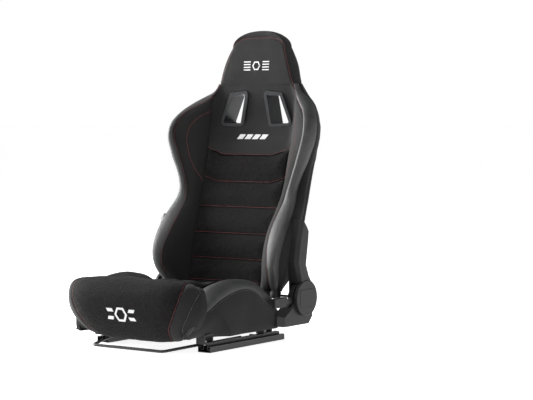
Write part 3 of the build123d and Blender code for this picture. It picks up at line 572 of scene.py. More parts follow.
def with_foot(rows, drop, shrink):
    """The rows with a rounded foot below the first one."""
    first = np.asarray(rows[0])
    middle = first.mean(0)
    foot = []
    for angle in np.linspace(math.pi / 2, 0, 9)[:-1]:
        loop = middle + (first - middle) * (1 - shrink * (1 - math.cos(angle)))
        loop[:, 2] = middle[2] - drop * math.sin(angle)
        foot.append(loop)
    return foot + list(rows)


def cut_holes(piece):
    """Cuts both harness openings, a little smaller than their bezels, through a cover."""
    for side in (-1, 1):
        corners = [Vector((side * x * WIDE, level(s))) for x, s in HOLE]
        inside = []
        for before, corner, after in around(corners):
            inwards = (before - corner).normalized() + (after - corner).normalized()
            inside.append(corner + inwards * HOLE_INSET)
        outline = []
        for before, corner, after in around(inside):
            start = corner + (before - corner).normalized() * HOLE_ROUND
            end = corner + (after - corner).normalized() * HOLE_ROUND
            for t in np.linspace(0, 1, 7):
                outline.append(start * (1 - t) ** 2 + corner * 2 * t * (1 - t) + end * t * t)
        loops = [[(p.x, y, p.y) for p in outline] for y in (PIVOT.y, REAR + 0.1)]
        cutter = grid_mesh("cutter", loops, ["bezel_plastic"])
        modifier = piece.modifiers.new("opening", "BOOLEAN")
        modifier.object = cutter
        modifier.operation = "DIFFERENCE"
        modifier.solver = "EXACT"
        apply_modifiers(piece)
        bpy.data.objects.remove(cutter)
    smooth(piece.data)


def around(corners):
    """Each corner between its neighbours."""
    return zip(corners[-1:] + corners[:-1], corners, corners[1:] + corners[:1])


def apply_modifiers(piece):
    """Replaces the piece's mesh by what its modifiers make of it."""
    depsgraph = bpy.context.evaluated_depsgraph_get()
    result = bpy.data.meshes.new_from_object(piece.evaluated_get(depsgraph))
    piece.modifiers.clear()
    piece.data = result
    result.name = piece.name


# ---------------------------------------------------------------- backrest shapes
def face_of(s):
    """A wing's face at a height: its inner edge, its seam, the way between them and its bulge."""
    z = level(s)
    panel = np.array([inner_x(s), panel_y(s) + 0.001, z])
    seam = np.array([seam_x(s), seam_y(s), z])
    lean = seam - panel
    out = np.array([-lean[1], lean[0], 0])
    out /= np.linalg.norm(out) + 1e-9
    return panel, seam, lean, out * (0.07 * np.linalg.norm(lean))


def wing_section(s, side, counts):
    """One closed loop round a wing: inner face, vinyl band, side and back."""
    inner, band, flank, back = counts
    panel, seam, lean, bulge = face_of(s)
    z = seam[2]
    edge = float(side_line(s))
    depth = float(BAND_DEPTH(s))
    outer = np.array([edge, seam[1] + depth, z])
    reach = edge - seam[0]
    face = blended([panel, panel + 0.5 * lean - bulge, seam], inner + 1)[:-1]
    roll = float(roll_out(s))
    lift = float(np.clip((HOOD - s) / 0.15, 0.04, 1))
    high = min(depth, BULGE_LIMIT) * lift
    flat = depth * (1 - lift)
    over = blended([
        seam, seam + (0.18 * reach, 0.02 * flat - 0.34 * high - roll, 0),
        seam + (0.62 * reach + 0.2 * roll, 0.12 * flat - 0.42 * high - roll, 0),
        seam + (reach + 0.5 * roll, 0.45 * flat - 0.10 * high - 0.4 * roll, 0),
        outer + (0.4 * roll, -0.40 * depth * lift, 0), outer], band + 1)[:-1]
    rear_y = float(foam_back(s)) + SLACK
    rear = np.array([rear_half(s), rear_y, z])
    side_run = blended([outer, 0.55 * outer + 0.45 * rear + (0.004, 0, 0), rear], flank + 1)[:-1]
    inside = (panel[0], rear_y, z)
    loop = np.concatenate([face, over, side_run, straight(rear, inside, back), straight(inside, panel, 4)])
    loop[:, 0] *= side
    return loop


def wing_line(kind, shares, side):
    """A line up a wing: its front seam, its band's outer edge, its inner edge or its face's stitches."""
    line = []
    for s in shares:
        panel, seam, lean, bulge = face_of(s)
        if kind == "seam":
            point = seam
        elif kind == "band":
            point = np.array([side_line(s), seam[1] + BAND_DEPTH(s), seam[2]])
        else:
            part = float(FACE_STITCH(s)) if kind == "stitch" else 0.0
            point = panel + part * lean - bulge * 4 * part * (1 - part)
        line.append(point * (side, 1, 1))
    return line


FACE_STITCH = Smooth([
    (0.405, 0.02), (0.436, 0.36), (0.472, 0.55), (0.509, 0.63), (0.546, 0.65), (0.607, 0.60),
    (0.635, 0.52), (0.656, 0.40), (0.672, 0.22), (0.682, 0.03),
])  # fmt: skip


def dome(s):
    """How far the head has rounded over at a height: its width's and its depth's share."""
    squeeze = math.sqrt(max(0.0, 1 - ((s - DOME) / (1.0 - DOME)) ** 2))
    tight = squeeze**0.5
    return squeeze, (0.25 + 0.75 * tight) * min(1, 0.3 + tight)


def head_section(s, counts):
    """One closed loop round the head piece, from the middle of its front."""
    front, flank, back = counts
    z = level(s)
    low = min(s, DOME)
    hooded = s > HOOD
    seam_half = float(seam_x(low) if hooded else inner_x(low))
    edge = float(side_line(low)) if hooded else seam_half + 0.0004
    rear_y = REAR - SLACK if hooded else float(foam_back(low)) + SLACK
    x = np.linspace(-1, 1, 2 * front + 1) * seam_half
    if hooded:
        y = centre_y(low) + (seam_y(low) - centre_y(low)) * np.abs(x / seam_half) ** 3
    else:
        y = front_surface(x, level(low))
    face = np.stack([x, y, np.full_like(x, z)], 1)
    corner = face[-1]
    reach = edge - seam_half
    if hooded:
        over = blended([
            corner, corner + (0.55 * reach, 0.006, 0), (edge, corner[1] + 0.028, z),
            (edge - 0.001, rear_y - 0.022, z), (edge - 0.02, rear_y - 0.002, z)], flank + 1)[1:]
    else:
        over = blended([corner, corner + (reach, 0.010, 0), (edge - 0.0002, rear_y, z)], flank + 1)[1:]
    behind = blended([over[-1], (0.5 * over[-1][0], rear_y, z), (0, rear_y + 0.0005, z)], back + 1)[1:]
    loop = both_sides(face, over, behind)
    if s > DOME:
        squeeze, depth = dome(s)
        middle_y = 0.5 * (float(centre_y(low)) + rear_y)
        loop[:, 0] *= squeeze
        loop[:, 1] = middle_y + (loop[:, 1] - middle_y) * depth
    return loop


def both_sides(face, over, behind):
    """A loop from a front face, the right side's run and the right half of the rear, mirrored."""
    half = np.concatenate([over, behind[:-1]])
    return np.concatenate([face, half, behind[-1:], half[::-1] * (-1, 1, 1)])


def rear_section(s, flank=16, back=26):
    """One closed loop round the rear shell."""
    z = level(s)
    edge = rear_half(s) + 0.0005
    foam_y = float(foam_back(s))
    depth = REAR - SLACK - BACK_PLANE
    rear_y = foam_y + depth
    front_y = foam_y + 0.0035
    run = blended([
        (edge, front_y, z), (edge - 0.003, front_y + 0.35 * depth, z), (edge - 0.018, rear_y - 0.010, z),
        (edge - 0.045, rear_y - 0.002, z)], flank)
    behind = blended([run[-1], (0.45 * edge, rear_y, z), (0, rear_y + 0.0005, z)], back + 1)[1:]
    return both_sides(np.empty((0, 3)), run, behind)


# ---------------------------------------------------------------- operators
class SEAT_OT_centre_pad(bpy.types.Operator):
    """Knit centre pad of the backrest with its sewn cross channels"""

    bl_idname = "seat.centre_pad"
    bl_label = "Centre Pad"

    def execute(self, context):
        sizes = context.scene.seat_sizes
        columns = int(2 * panel_x(0.3) / sizes.grid)
        rows = []
        across = np.linspace(-1, 1, columns)
        for v in np.linspace(0, 1, int(0.43 / sizes.grid)):
            top = cross_seam(0, across * inner_x(0.52))
            z = BOTTOM + v * (top - BOTTOM)
            x = across * inner_x(share(z))
            front = np.stack([x, front_surface(x, z), z], 1)
            behind = front[::-1][::4] * (1, 0, 1) + np.stack(
                [0 * x, foam_back(share(z)) + 0.002, 0 * z], 1)[::-1][::4]
            rows.append(np.concatenate([front, behind]))
        pad = grid_mesh("centre_pad", with_foot(rows, 0.020, 0.10), ["knit_fabric"])
        edges = [cross_line(number, 1.0) for number in range(len(SEAMS))]
        edges += [panel_edge(side, np.linspace(0, 0.536, 60)) for side in (-1, 1)]
        sew(pad, edges, sizes.seam_depth, sizes.seam_width, sizes.puff, 0.024, facing_front)
        ripple(pad, 0.0009, 0.05, shown=facing_front)
        finish_piece(pad, "backrest", ["back_pad"])
        return {"FINISHED"}


def facing_front(points):
    """1 on the backrest's front, 0 behind it."""
    depth = points[:, 1] - foam_back(share(points[:, 2]))
    return np.clip(-depth / 0.012, 0, 1)


def panel_edge(side, shares):
    """The line up the backrest where its middle meets a wing."""
    return [(side * inner_x(s), panel_y(s), level(s)) for s in shares]


def cross_line(number, reach):
    """A cross seam as a line over the front of the backrest."""
    x = np.linspace(-1, 1, 81) * reach
    drop = SEAMS[number][0]
    half = inner_x(drop[0] if isinstance(drop, tuple) else drop)
    x = x * half
    z = cross_seam(number, x)
    return np.stack([x, front_surface(x, z), z], 1)


class SEAT_OT_head(bpy.types.Operator):
    """Cloth shoulder and head cover with both harness openings"""

    bl_idname = "seat.head"
    bl_label = "Head Cover"

    def execute(self, context):
        sizes = context.scene.seat_sizes
        counts = (int(inner_x(0.6) / sizes.grid), 12, 14)
        start = SEAMS[0][0][1]
        shares = list(np.arange(start, DOME, sizes.grid / TALL))
        shares += [DOME + (1.0 - DOME) * math.sin(a) for a in np.linspace(0, math.pi / 2, 22)]
        rows = []
        for s in shares:
            loop = head_section(min(s, 0.99999), counts)
            lift = cross_seam(0, loop[:, 0]) - level(start)
            fade = np.clip(1 - (s - start) / 0.10, 0, 1) ** 2
            if fade > 0:
                z = loop[:, 2] + lift * fade
                flat = facing_front(loop) * (np.abs(loop[:, 0]) < inner_x(s) + 0.001)
                loop[:, 1] += (front_surface(loop[:, 0], z) - front_surface(loop[:, 0], loop[:, 2])) * flat
                loop[:, 2] = z
            rows.append(loop)
        head = grid_mesh("head_cover", rows, ["suede_fabric"])
        seams = [cross_line(0, 1.0)] + [head_line(side) for side in (-1, 1)] + [hood_line()]
        seams += [panel_edge(side, np.linspace(0.536, HOOD, 50)) for side in (-1, 1)]
        sew(head, seams, sizes.seam_depth * 0.7, sizes.seam_width, sizes.puff * 0.4, 0.03)
        ripple(head, 0.0012, 0.07)
        cut_holes(head)
        finish_piece(head, "backrest", ["head_pad"])
        return {"FINISHED"}


def head_line(side):
    """The front seam of the head, from the shoulder to the top."""
    line = [(side * seam_x(s), seam_y(s), level(s)) for s in np.linspace(HOOD, DOME, 40)]
    top = level(DOME) + 0.62 * (TOP - level(DOME))
    for a in np.linspace(0, math.pi / 2, 26)[1:]:
        x = seam_x(DOME) * math.cos(a) ** 0.75
        z = level(DOME) + (top - level(DOME)) * math.sin(a)
        line.append((side * x, head_face_y(z), z))
    return line


def head_face_y(z):
    """Depth of the head's front face near its top."""
    front = float(centre_y(DOME))
    middle = 0.5 * (front + REAR - SLACK)
    return middle + (front - middle) * dome(share(z))[1]


def hood_line():
    """The seam between the hood and the rear shell and bands."""
    front = 30
    return head_section(HOOD + 0.002, (front, 12, 14))[2 * front + 2:]


class SEAT_OT_wings(bpy.types.Operator):
    """Backrest wings: cloth faces, vinyl bands and cloth flanks"""

    bl_idname = "seat.wings"
    bl_label = "Wings"

    def execute(self, context):
        sizes = context.scene.seat_sizes
        counts = (22, 18, 16, 12)
        inner, band, flank, back = counts
        kinds = [0] * inner + [1] * band + [0] * (flank + back + 4)
        shares = np.linspace(0.0, HOOD, int(TALL * HOOD / sizes.grid))
        for side, name in ((-1, "left"), (1, "right")):
            rows = [wing_section(s, side, counts) for s in shares]
            wing = grid_mesh(f"wing_{name}", with_foot(rows, 0.022, 0.14), ["suede_fabric", "vinyl"], kinds)
            seams = [wing_line(kind, np.linspace(0, HOOD, 160), side) for kind in ("seam", "band", "panel")]
            sew(wing, seams, sizes.seam_depth * 0.8, sizes.seam_width, sizes.puff * 0.55, 0.016, facing_front)
            ripple(wing, 0.0016, 0.06, (1, 1, 0.6), facing_front)
            finish_piece(wing, "backrest", [f"back_wing_{name}"])
        return {"FINISHED"}


class SEAT_OT_rear_shell(bpy.types.Operator):
    """Padded rear shell of the backrest"""

    bl_idname = "seat.rear_shell"
    bl_label = "Rear Shell"

    def execute(self, context):
        sizes = context.scene.seat_sizes
        shares = np.linspace(0.0, HOOD, int(TALL * HOOD / (1.3 * sizes.grid)))
        rows = [rear_section(s) for s in shares]
        shell = grid_mesh("rear_shell", with_foot(rows, 0.010, 0.08), ["suede_fabric"])
        sew(shell, rear_lines(), sizes.seam_depth * 0.7, sizes.seam_width * 1.2, sizes.puff * 0.6, 0.03,
            facing_rear)
        ripple(shell, 0.0016, 0.09, shown=facing_rear)
        cut_holes(shell)
        finish_piece(shell, "backrest", ["rear_cover"])
        return {"FINISHED"}


def facing_rear(points):
    """1 on the shell's rear, 0 in front of it."""
    depth = points[:, 1] - foam_back(share(points[:, 2])) - 0.010
    return np.clip(depth / 0.012, 0, 1)


def rear_lines():
    """The two seams that run up the rear shell."""
    loops = [rear_section(s) for s in np.linspace(0.01, HOOD, 90)]
    return [[loop[15] * (side, 1, 1) for loop in loops] for side in (-1, 1)]


# ---------------------------------------------------------------- cushion shapes
ROLL_BACK = BOLSTER_LOW.y - 0.0005
FOOT_FRONT = BOLSTER_LOW.y + 0.024
FRONT = CUSHION_LOW.y
CREST = CUSHION_HIGH.z
ROLL_LOW = CUSHION_LOW.z
HIPS = BOLSTER_HIGH.x
# Front roll, from its crest down to its underside: (depth behind the front, height above the
# underside, half width), in millimetres.
ROLL = [
    (100, 178, 206), (72, 180, 216), (46, 178, 230), (22, 168, 246), (6, 148, 253), (0, 122, 256),
    (3, 92, 252), (10, 66, 240), (22, 40, 222), (40, 16, 198), (62, 2, 176), (92, 0, 160),
]  # fmt: skip


def roll_profile(count):
    return blended([(d * MM, h * MM, w * MM) for d, h, w in ROLL], count)


def roll_point(profile, u):
    """A point on the front roll at that share of its half width."""
    depth, rise, half = profile
    back = ROLL_BACK - FRONT
    round_off = (1 - abs(u) ** 5.5) ** 0.5
    y = FRONT + back - (back - depth) * (0.10 + 0.90 * round_off)
    middle = 0.45 * (CREST - ROLL_LOW)
    z = ROLL_LOW + middle + (rise - middle) * (0.86 + 0.14 * round_off)
    return np.array([u * half, y, z])


ROLL_SEAM = Smooth([(0.0, 0.86), (0.35, 0.79), (0.55, 0.75), (0.8, 0.73), (1.0, 0.82)])


class SEAT_OT_cushion_front(bpy.types.Operator):
    """Front roll of the cushion: a knit middle between cloth ends"""

    bl_idname = "seat.cushion_front"
    bl_label = "Cushion Front"

    def execute(self, context):
        sizes = context.scene.seat_sizes
        across = np.linspace(-1, 1, 121)
        across = across * 0.55 + np.sin(across * math.pi / 2 * 0.999) * 0.45
        profile = roll_profile(70)
        rows = []
        for u in across:
            face = [roll_point(p, float(np.clip(u, -0.9995, 0.9995))) for p in profile]
            behind = straight(face[-1], face[0], 12)[1:]
            rows.append(np.concatenate([face, behind]))
        roll = grid_mesh("cushion_front", rows, ["knit_fabric", "suede_fabric"])
        for face in roll.data.polygons:
            middle = face.center
            place = min(1.0, max(0.0, (CREST - middle.z) / (CREST - ROLL_LOW)))
            edge = float(ROLL_SEAM(place)) * roll_half(middle.z)
            face.material_index = int(abs(middle.x) > edge)
        seams = [roll_line(side, 0.0) for side in (-1, 1)] + [roll_line(side, 0.034) for side in (-1, 1)]
        sew(roll, seams, sizes.seam_depth * 0.8, sizes.seam_width, sizes.puff * 0.4, 0.03)
        ripple(roll, 0.0022, 0.08, (0.6, 1, 1))
        ripple(roll, 0.0007, 0.02)
        finish_piece(roll, "base", ["cushion_core"])
        return {"FINISHED"}


def roll_half(z):
    """Half width of the front roll at a height."""
    rise = np.array([h for _, h, _ in ROLL][::-1]) * MM + ROLL_LOW
    half = np.array([w for _, _, w in ROLL][::-1]) * MM
    order = np.argsort(rise)
    return float(np.interp(z, rise[order], half[order]))


def roll_line(side, outwards):
    """A seam down the front roll, that far outside the red one."""
    line = []
    for p in roll_profile(60)[2:-4]:
        z = ROLL_LOW + p[1]
        place = min(1.0, max(0.0, (CREST - z) / (CREST - ROLL_LOW)))
        u = min(0.985, float(ROLL_SEAM(place)) + outwards / p[2])
        line.append(roll_point(p, side * u))
    return line


class SEAT_OT_cushion_centre(bpy.types.Operator):
    """Knit centre pad between the cushion's bolsters"""

    bl_idname = "seat.cushion_centre"
    bl_label = "Cushion Centre"

    def execute(self, context):
        sizes = context.scene.seat_sizes
        across = np.linspace(-1, 1, 76)
        rear = CUSHION_HIGH.y + 0.012
        wide = HIPS - 0.0966
        reach = Smooth([(ROLL_BACK, wide), (-0.18, wide), (0.02, wide), (rear, wide - 0.006)])
        top = Smooth([
            (-0.245, CREST - 0.002), (-0.20, CREST - 0.006), (-0.10, 0.190), (0.06, 0.155), (rear, 0.138)])
        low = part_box("seat_pan")[1].z + 0.001
        rows = []
        for y in np.linspace(ROLL_BACK + 0.001, rear, 92):
            x = across * float(reach(y))
            dip = 0.012 * (1 - across**2)
            fall = 0.030 * np.abs(across) ** 9 * float(np.clip((-0.09 - y) / 0.09, 0, 1))
            fall += 0.022 * np.abs(across) ** 5 * float(np.clip((y - 0.01) / 0.06, 0, 1))
            z = float(top(y)) + 0.008 - dip - fall
            face = np.stack([x, np.full_like(x, y), z], 1)
            under = np.stack([x, np.full_like(x, y), np.full_like(x, low)], 1)[::-5]
            rows.append(np.concatenate([face, under]))
        pad = grid_mesh("cushion_centre", rows, ["knit_fabric"])
        lines = []
        for y in (-0.185, -0.115, -0.045, 0.025, 0.095):
            half = float(reach(y))
            x = np.linspace(-half, half, 60)
            z = float(top(y)) + 0.008 - 0.012 * (1 - (x / half) ** 2)
            lines.append(np.stack([x, np.full_like(x, y), z], 1))
        sew(pad, lines, sizes.seam_depth, sizes.seam_width, sizes.puff * 0.8, 0.024,
            lambda points: np.clip((points[:, 2] - low - 0.02) / 0.02, 0, 1))
        finish_piece(pad, "base", ())
        return {"FINISHED"}


# Bolster lines, from the front's foot over the ridge to the recliner, in millimetres (y, z).
RIDGE = [
    (-292, 50), (-282, 84), (-256, 124), (-206, 172), (-150, 196), (-90, 204), (-30, 200),
    (30, 186), (76, 160), (112, 136),
]  # fmt: skip
GREY_SEAM = [
    (-290, 48), (-270, 80), (-246, 116), (-200, 146), (-138, 168), (-80, 179), (-34, 178),
    (6, 164), (52, 134), (110, 106),
]  # fmt: skip
VALLEY = [
    (-262, 52), (-250, 84), (-230, 120), (-196, 158), (-150, 180), (-90, 182), (-30, 176),
    (30, 162), (76, 142), (106, 126),
]  # fmt: skip


class SEAT_OT_bolsters(bpy.types.Operator):
    """Cushion bolsters: a vinyl band over the ridge and a cloth side"""

    bl_idname = "seat.bolsters"
    bl_label = "Cushion Bolsters"

    def execute(self, context):
        sizes = context.scene.seat_sizes
        rows = bolster_rows()
        kinds = [1] * GREY_COLUMN + [0] * (BOLSTER_FLANK + 16)
        for side, name in ((-1, "left"), (1, "right")):
            piece = grid_mesh(f"bolster_{name}", rows * (side, 1, 1), ["suede_fabric", "vinyl"], kinds)
            line = [row[GREY_COLUMN] * (side, 1, 1) for row in rows]
            foot = [row[0] * (side, 1, 1) for row in rows]
            sew(piece, [line, foot], sizes.seam_depth * 0.7, sizes.seam_width, sizes.puff * 0.7, 0.022)
            ripple(piece, 0.0022, 0.07)
            finish_piece(piece, "base", [f"cushion_bolster_{name}"])
        return {"FINISHED"}


GREY_COLUMN = 34  # points of a bolster's loop from the valley over the ridge to the grey seam
BOLSTER_FLANK = 34  # points from there down to the foot


def bolster_rows(count=110):
    """Closed loops round the right bolster, along its ridge."""
    tracks = []
    for line, x in ((VALLEY, HIPS - 0.094), (RIDGE, HIPS - 0.036), (GREY_SEAM, HIPS)):
        tracks.append(blended([(x, y * MM, z * MM) for y, z in line], count))
    low = BOLSTER_LOW.z + 0.001
    rows = []
    for index, (valley, ridge, seam) in enumerate(zip(*tracks)):
        t = index / (count - 1)
        seam = seam.copy()
        seam[0] = HIPS - 0.002 - 0.048 * max(0.0, 1 - 3.5 * t) ** 2
        y_low = FOOT_FRONT + t * (BOLSTER_HIGH.y - FOOT_FRONT)
        foot = np.array([HIPS - 0.006 - 0.070 * max(0.0, 1 - 3.5 * t), y_low, low])
        climb = blended([
            valley, 0.5 * valley + 0.5 * ridge + (0.004, 0, 0.004), ridge,
            0.45 * ridge + 0.55 * seam + (0.007, -0.002, 0.004), seam], GREY_COLUMN + 1)[:-1]
        drop = seam - foot
        side_run = blended([
            seam, seam - 0.35 * drop + (0.004, 0, 0), foot + 0.15 * drop + (0.003, 0, 0),
            foot], BOLSTER_FLANK + 1)[:-1]
        under = foot - (0.014, -0.004, 0)
        inside = np.array([HIPS - 0.096, valley[1] + 0.006, min(valley[2] - 0.004, 0.082)])
        rows.append(np.concatenate([climb, side_run, straight(foot, under, 4), straight(under, inside, 6),
                                    straight(inside, valley, 6)]))
    return np.array(rows)


# ---------------------------------------------------------------- stitching
def stitch_tree(name, finish):
    """Geometry nodes that lay one small stitch after another along the curves they are given."""
    tree = bpy.data.node_groups.new(name, "GeometryNodeTree")
    face = tree.interface
    face.new_socket("Geometry", in_out="INPUT", socket_type="NodeSocketGeometry")
    sockets = {label: face.new_socket(label, in_out="INPUT", socket_type="NodeSocketFloat").identifier
               for label in ("Pitch", "Length", "Radius")}
    face.new_socket("Geometry", in_out="OUTPUT", socket_type="NodeSocketGeometry")

    def add(kind, inputs, **settings):
        """A node; an input is a value, or a node and its output's name."""
        node = tree.nodes.new(kind)
        for key, value in settings.items():
            setattr(node, key, value)
        for key, value in inputs.items():
            if isinstance(value, tuple):
                tree.links.new(value[0].outputs[value[1]], node.inputs[key])
            else:
                node.inputs[key].default_value = value
        return node

    given = add("NodeGroupInput", {})
    curve = add("GeometryNodeMeshToCurve", {"Mesh": (given, "Geometry")})
    spread = add("GeometryNodeResampleCurve", {
        "Curve": (curve, "Curve"), "Length": (given, "Pitch")}, mode="LENGTH")
    along = add("GeometryNodeInputTangent", {})
    aim = add("FunctionNodeAlignRotationToVector", {"Vector": (along, "Tangent")}, axis="Z")
    ball = add("GeometryNodeMeshUVSphere", {"Segments": 6, "Rings": 4, "Radius": 1.0})
    halve = add("ShaderNodeMath", {0: (given, "Length"), 1: 0.5}, operation="MULTIPLY")
    size = add("ShaderNodeCombineXYZ", {"X": (given, "Radius"), "Y": (given, "Radius"), "Z": (halve, 0)})
    laid = add("GeometryNodeInstanceOnPoints", {
        "Points": (spread, "Curve"), "Instance": (ball, "Mesh"), "Rotation": (aim, "Rotation"),
        "Scale": (size, "Vector")})
    real = add("GeometryNodeRealizeInstances", {"Geometry": (laid, "Instances")})
    shaded = add("GeometryNodeSetShadeSmooth", {"Geometry": (real, "Geometry")})
    paint = add("GeometryNodeSetMaterial", {"Geometry": (shaded, "Geometry"), "Material": finish})
    add("NodeGroupOutput", {"Geometry": (paint, "Geometry")})
    return tree, sockets


def stitched(name, lines, finish, covers, body):
    """Stitches along lines, laid on the covers, as one plain mesh."""
    sizes = bpy.context.scene.seat_sizes
    points, edges = [], []
    for line in lines:
        on_cover = laid_on(finer(line, 0.003), covers, 0.6 * sizes.thread)
        edges += [(len(points) + i, len(points) + i + 1) for i in range(len(on_cover) - 1)]
        points += on_cover
    mesh = bpy.data.meshes.new(name)
    mesh.from_pydata(points, edges, [])
    piece = linked(name, mesh)
    modifier = piece.modifiers.new("stitches", "NODES")
    modifier.node_group, sockets = stitch_tree(f"{name}_tree", material(finish))
    modifier[sockets["Pitch"]] = sizes.stitch_pitch
    modifier[sockets["Length"]] = sizes.stitch_length
    modifier[sockets["Radius"]] = sizes.thread
    apply_modifiers(piece)
    finish_piece(piece, body)


def laid_on(line, covers, lift):
    """The line's points moved to the nearest place on the covers, and lifted off them."""
    moved = []
    for point in line:
        found = [cover.closest_point_on_mesh(Vector(point))[1:3] for cover in covers]
        place, normal = min(found, key=lambda near: (near[0] - Vector(point)).length)
        moved.append(tuple(place + normal * lift))
    return moved


class SEAT_OT_stitching(bpy.types.Operator):
    """Red and grey stitching along the seams of every cover"""

    bl_idname = "seat.stitching"
    bl_label = "Stitching"

    def execute(self, context):
        shown = bpy.data.objects
        back = [shown[name] for name in ("centre_pad", "head_cover", "wing_left", "wing_right")]
        red = [shifted(cross_line(number, 0.985), 0.0035) for number in range(len(SEAMS))]
        for side in (-1, 1):
            red.append(wing_line("seam", np.linspace(0.02, HOOD, 200), side))
            red.append(wing_line("stitch", np.linspace(0.405, 0.682, 90), side))
            red.append(head_line(side))
        stitched("back_red_stitches", red, "red_thread", back, "backrest")
        front = [shown["cushion_front"]]
        seams = [roll_line(side, -0.002) for side in (-1, 1)]
        stitched("cushion_red_stitches", seams, "red_thread", front, "base")
        bolsters = [shown["bolster_left"], shown["bolster_right"]]
        rows = bolster_rows()
        grey = [[row[GREY_COLUMN + 1] * (side, 1, 1) for row in rows] for side in (-1, 1)]
        grey += [roll_line(side, 0.036) for side in (-1, 1)]
        stitched("cushion_grey_stitches", grey, "grey_thread", bolsters + front, "base")
        return {"FINISHED"}


def shifted(line, rise):
    """The line moved up along the cover, beside its seam."""
    return np.asarray(line) + (0, 0, rise)


# ---------------------------------------------------------------- marks
def mark(name, outlines, cover, body):
    """A flat embroidered mark laid on a cover, from pairs of rails given in the X-Z plane."""
    mesh = bpy.data.meshes.new(name)
    work = bmesh.new()
    for rails in outlines:
        rows = [[work.verts.new(a + (b - a) * t) for t in np.linspace(0, 1, 5)] for a, b in zip(*rails)]
        for low, high in zip(rows, rows[1:]):
            for i in range(4):
                work.faces.new((low[i], low[i + 1], high[i + 1], high[i]))
    work.to_mesh(mesh)
    work.free()
    for vertex in mesh.vertices:
        start = Vector((vertex.co.x, -1.0, vertex.co.z))
        hit, place, _, _ = cover.ray_cast(start, Vector((0, 1, 0)))
        if not hit:
            raise RuntimeError(f"{name} misses its cover")
        vertex.co = place + Vector((0, -0.0004, 0))
    mesh.materials.append(material("patch"))
    piece = linked(name, mesh)
    thick = piece.modifiers.new("thread", "SOLIDIFY")
    thick.thickness = 0.0008
    thick.offset = 1.0 if mesh.polygons[0].normal.y < 0 else -1.0
    apply_modifiers(piece)
    clean(piece.data)
    finish_piece(piece, body)


def bar(x, z, width, height, lean=0.0):
    """A leaning bar as two matching rails of points."""
    steps = np.linspace(-0.5, 0.5, max(3, int(width / 0.004)))
    return [[Vector((x + width * t + end * lean * height / 2, 0, z + end * height / 2)) for t in steps]
            for end in (-1, 1)]


def ring(x, z, radius, width, corners=6):
    """A hexagonal ring as two matching rails of points."""
    part = math.pi / corners
    rails = []
    for size in (radius - width, radius):
        rail = []
        for turn in np.linspace(0, 2 * math.pi, corners * 4 + 1):
            reach = size * (math.cos(part) / math.cos(turn % (2 * part) - part))
            rail.append(Vector((x + reach * math.cos(turn), 0, z + reach * math.sin(turn))))
        rails.append(rail)
    return rails


class SEAT_OT_marks(bpy.types.Operator):
    """Plain embroidered marks on the head, the chest and the cushion's front"""

    bl_idname = "seat.marks"
    bl_label = "Marks"

    def execute(self, context):
        shown = bpy.data.objects
        head_z = level(0.862)
        head = [ring(0, head_z, 0.016, 0.0045)]
        for side in (-1, 1):
            head += [bar(side * 0.037, head_z + rise, 0.026, 0.0035)
                     for rise in (-0.013, -0.0045, 0.0045, 0.013)]
        mark("head_mark", head, shown["head_cover"], "backrest")
        chest_z = level(0.580)
        chest = [bar(x, chest_z, 0.022, 0.015, 0.45) for x in (-0.045, -0.015, 0.015, 0.045)]
        mark("chest_mark", chest, shown["head_cover"], "backrest")
        low = ROLL_LOW + 0.080
        front = [ring(0.0, low, 0.024, 0.007)]
        for side in (-1, 1):
            front += [bar(0.041 * side, low + 0.012 * tier, 0.022, 0.010, 0.5 * tier * side)
                      for tier in (-1, 1)]
        mark("cushion_mark", front, shown["cushion_front"], "base")
        return {"FINISHED"}


# ---------------------------------------------------------------- hardware and stage
class SEAT_OT_hardware(bpy.types.Operator):
    """Finishes of the frame, rails, recliner, covers and bezels"""

    bl_idname = "seat.hardware"
    bl_label = "Hardware Finishes"

    def execute(self, context):
        slots = {row["node"]: row["material_slot"] for row in frame["record"]["subparts"]}
        for name, node in frame["nodes"].items():
            finish = material(slots[name])
            if not node.data.materials:
                node.data.materials.append(finish)
            for index in range(len(node.data.materials)):
                node.data.materials[index] = finish
            for holder in node.material_slots:
                holder.material = finish
        return {"FINISHED"}


def softbox(name, place, aim, size, power):
    lamp = bpy.data.lights.new(name, "AREA")
    lamp.shape = "RECTANGLE"
    lamp.size, lamp.size_y = size
    lamp.energy = power
    aimed(linked(name, lamp), place, aim)


def aimed(holder, place, aim):
    """Puts a light or a camera at a place, turned towards another."""
    holder.location = place
    holder.rotation_euler = (Vector(aim) - Vector(place)).to_track_quat("-Z", "Y").to_euler()


def studio_world():
    """White round the horizon, and dimmer overhead."""
    world = bpy.data.worlds.new("studio")
    world.use_nodes = True
    nodes, links = world.node_tree.nodes, world.node_tree.links
    aim = nodes.new("ShaderNodeTexCoord")
    split = nodes.new("ShaderNodeSeparateXYZ")
    fade = nodes.new("ShaderNodeMapRange")
    fade.interpolation_type = "SMOOTHSTEP"
    for socket, value in zip(("From Min", "From Max", "To Min", "To Max"), (0.08, 0.26, 1.0, 0.10)):
        fade.inputs[socket].default_value = value
    links.new(aim.outputs["Generated"], split.inputs["Vector"])
    links.new(split.outputs["Z"], fade.inputs["Value"])
    links.new(fade.outputs["Result"], nodes["Background"].inputs["Strength"])
    nodes["Background"].inputs["Color"].default_value = (1, 1, 1, 1)
    return world


FLOOR_HALF = 400.0
# Softboxes: name, place, the point they face, size in metres, power in watts.
SOFTBOXES = (
    ("key_left", (-3.5, -0.4, 1.4), (-0.1, 0.1, 0.5), (1.6, 2.6), 330),
    ("side_right", (3.6, -0.6, 2.6), (0.2, 0.1, 0.5), (0.6, 2.0), 14),
    ("top", (0.2, -1.3, 3.2), (0, 0.1, 0.4), (2.4, 2.4), 64),
)


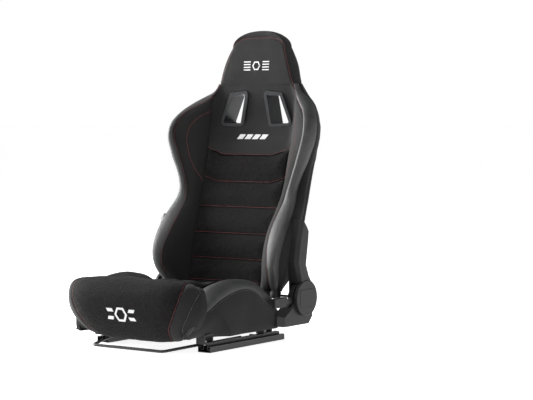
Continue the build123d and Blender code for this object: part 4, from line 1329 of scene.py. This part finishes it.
class SEAT_OT_stage(bpy.types.Operator):
    """Pale floor, soft studio light and the camera"""

    bl_idname = "seat.stage"
    bl_label = "Stage"

    def execute(self, context):
        floor = bpy.data.meshes.new("floor")
        corners = [(x * FLOOR_HALF, y * FLOOR_HALF, 0) for x, y in ((-1, -1), (1, -1), (1, 1), (-1, 1))]
        floor.from_pydata(corners, [], [(0, 1, 2, 3)])
        shade = Shade("pale_floor", (0.80, 0.80, 0.80), 0.7, Emission_Color=(1, 1, 1, 1),
                      Emission_Strength=0.88, Specular_IOR_Level=0.2)
        floor.materials.append(shade.material)
        linked("floor", floor)
        context.scene.world = studio_world()
        for row in SOFTBOXES:
            softbox(*row)
        lens = bpy.data.cameras.new("camera")
        lens.sensor_width = 36.0
        lens.sensor_fit = "HORIZONTAL"
        lens.lens = 114.46
        lens.clip_end = 100
        camera = linked("camera", lens)
        aimed(camera, (3.2197, -4.1220, 0.6972), (0.1529, 0.1870, 0.4329))
        context.scene.camera = camera
        context.scene.view_settings.view_transform = "Standard"
        return {"FINISHED"}


class SEAT_PT_panel(bpy.types.Panel):
    """Sidebar panel that lists the seat's operators"""

    bl_label = "Sports Seat"
    bl_idname = "SEAT_PT_panel"
    bl_space_type = "VIEW_3D"
    bl_region_type = "UI"
    bl_category = "Seat"

    def draw(self, context):
        layout = self.layout
        for group in (context.scene.seat_sizes, context.scene.seat_colours):
            for name in group.__annotations__:
                layout.prop(group, name)
        for operator in OPERATORS:
            layout.operator(operator.bl_idname)


OPERATORS = (
    SEAT_OT_hardware, SEAT_OT_centre_pad, SEAT_OT_head, SEAT_OT_wings, SEAT_OT_rear_shell,
    SEAT_OT_cushion_front, SEAT_OT_cushion_centre, SEAT_OT_bolsters, SEAT_OT_stitching,
    SEAT_OT_marks, SEAT_OT_stage,
)  # fmt: skip
CLASSES = (SeatSizes, SeatColours, *OPERATORS, SEAT_PT_panel)


def register():
    for cls in CLASSES:
        bpy.utils.register_class(cls)
    bpy.types.Scene.seat_sizes = bpy.props.PointerProperty(type=SeatSizes)
    bpy.types.Scene.seat_colours = bpy.props.PointerProperty(type=SeatColours)


def unregister():
    del bpy.types.Scene.seat_colours
    del bpy.types.Scene.seat_sizes
    for cls in reversed(CLASSES):
        bpy.utils.unregister_class(cls)


def main():
    register()
    for operator in OPERATORS:
        getattr(bpy.ops.seat, operator.bl_idname.split(".")[1])()
    bpy.context.view_layer.update()


if __name__ == "__main__":
    main()
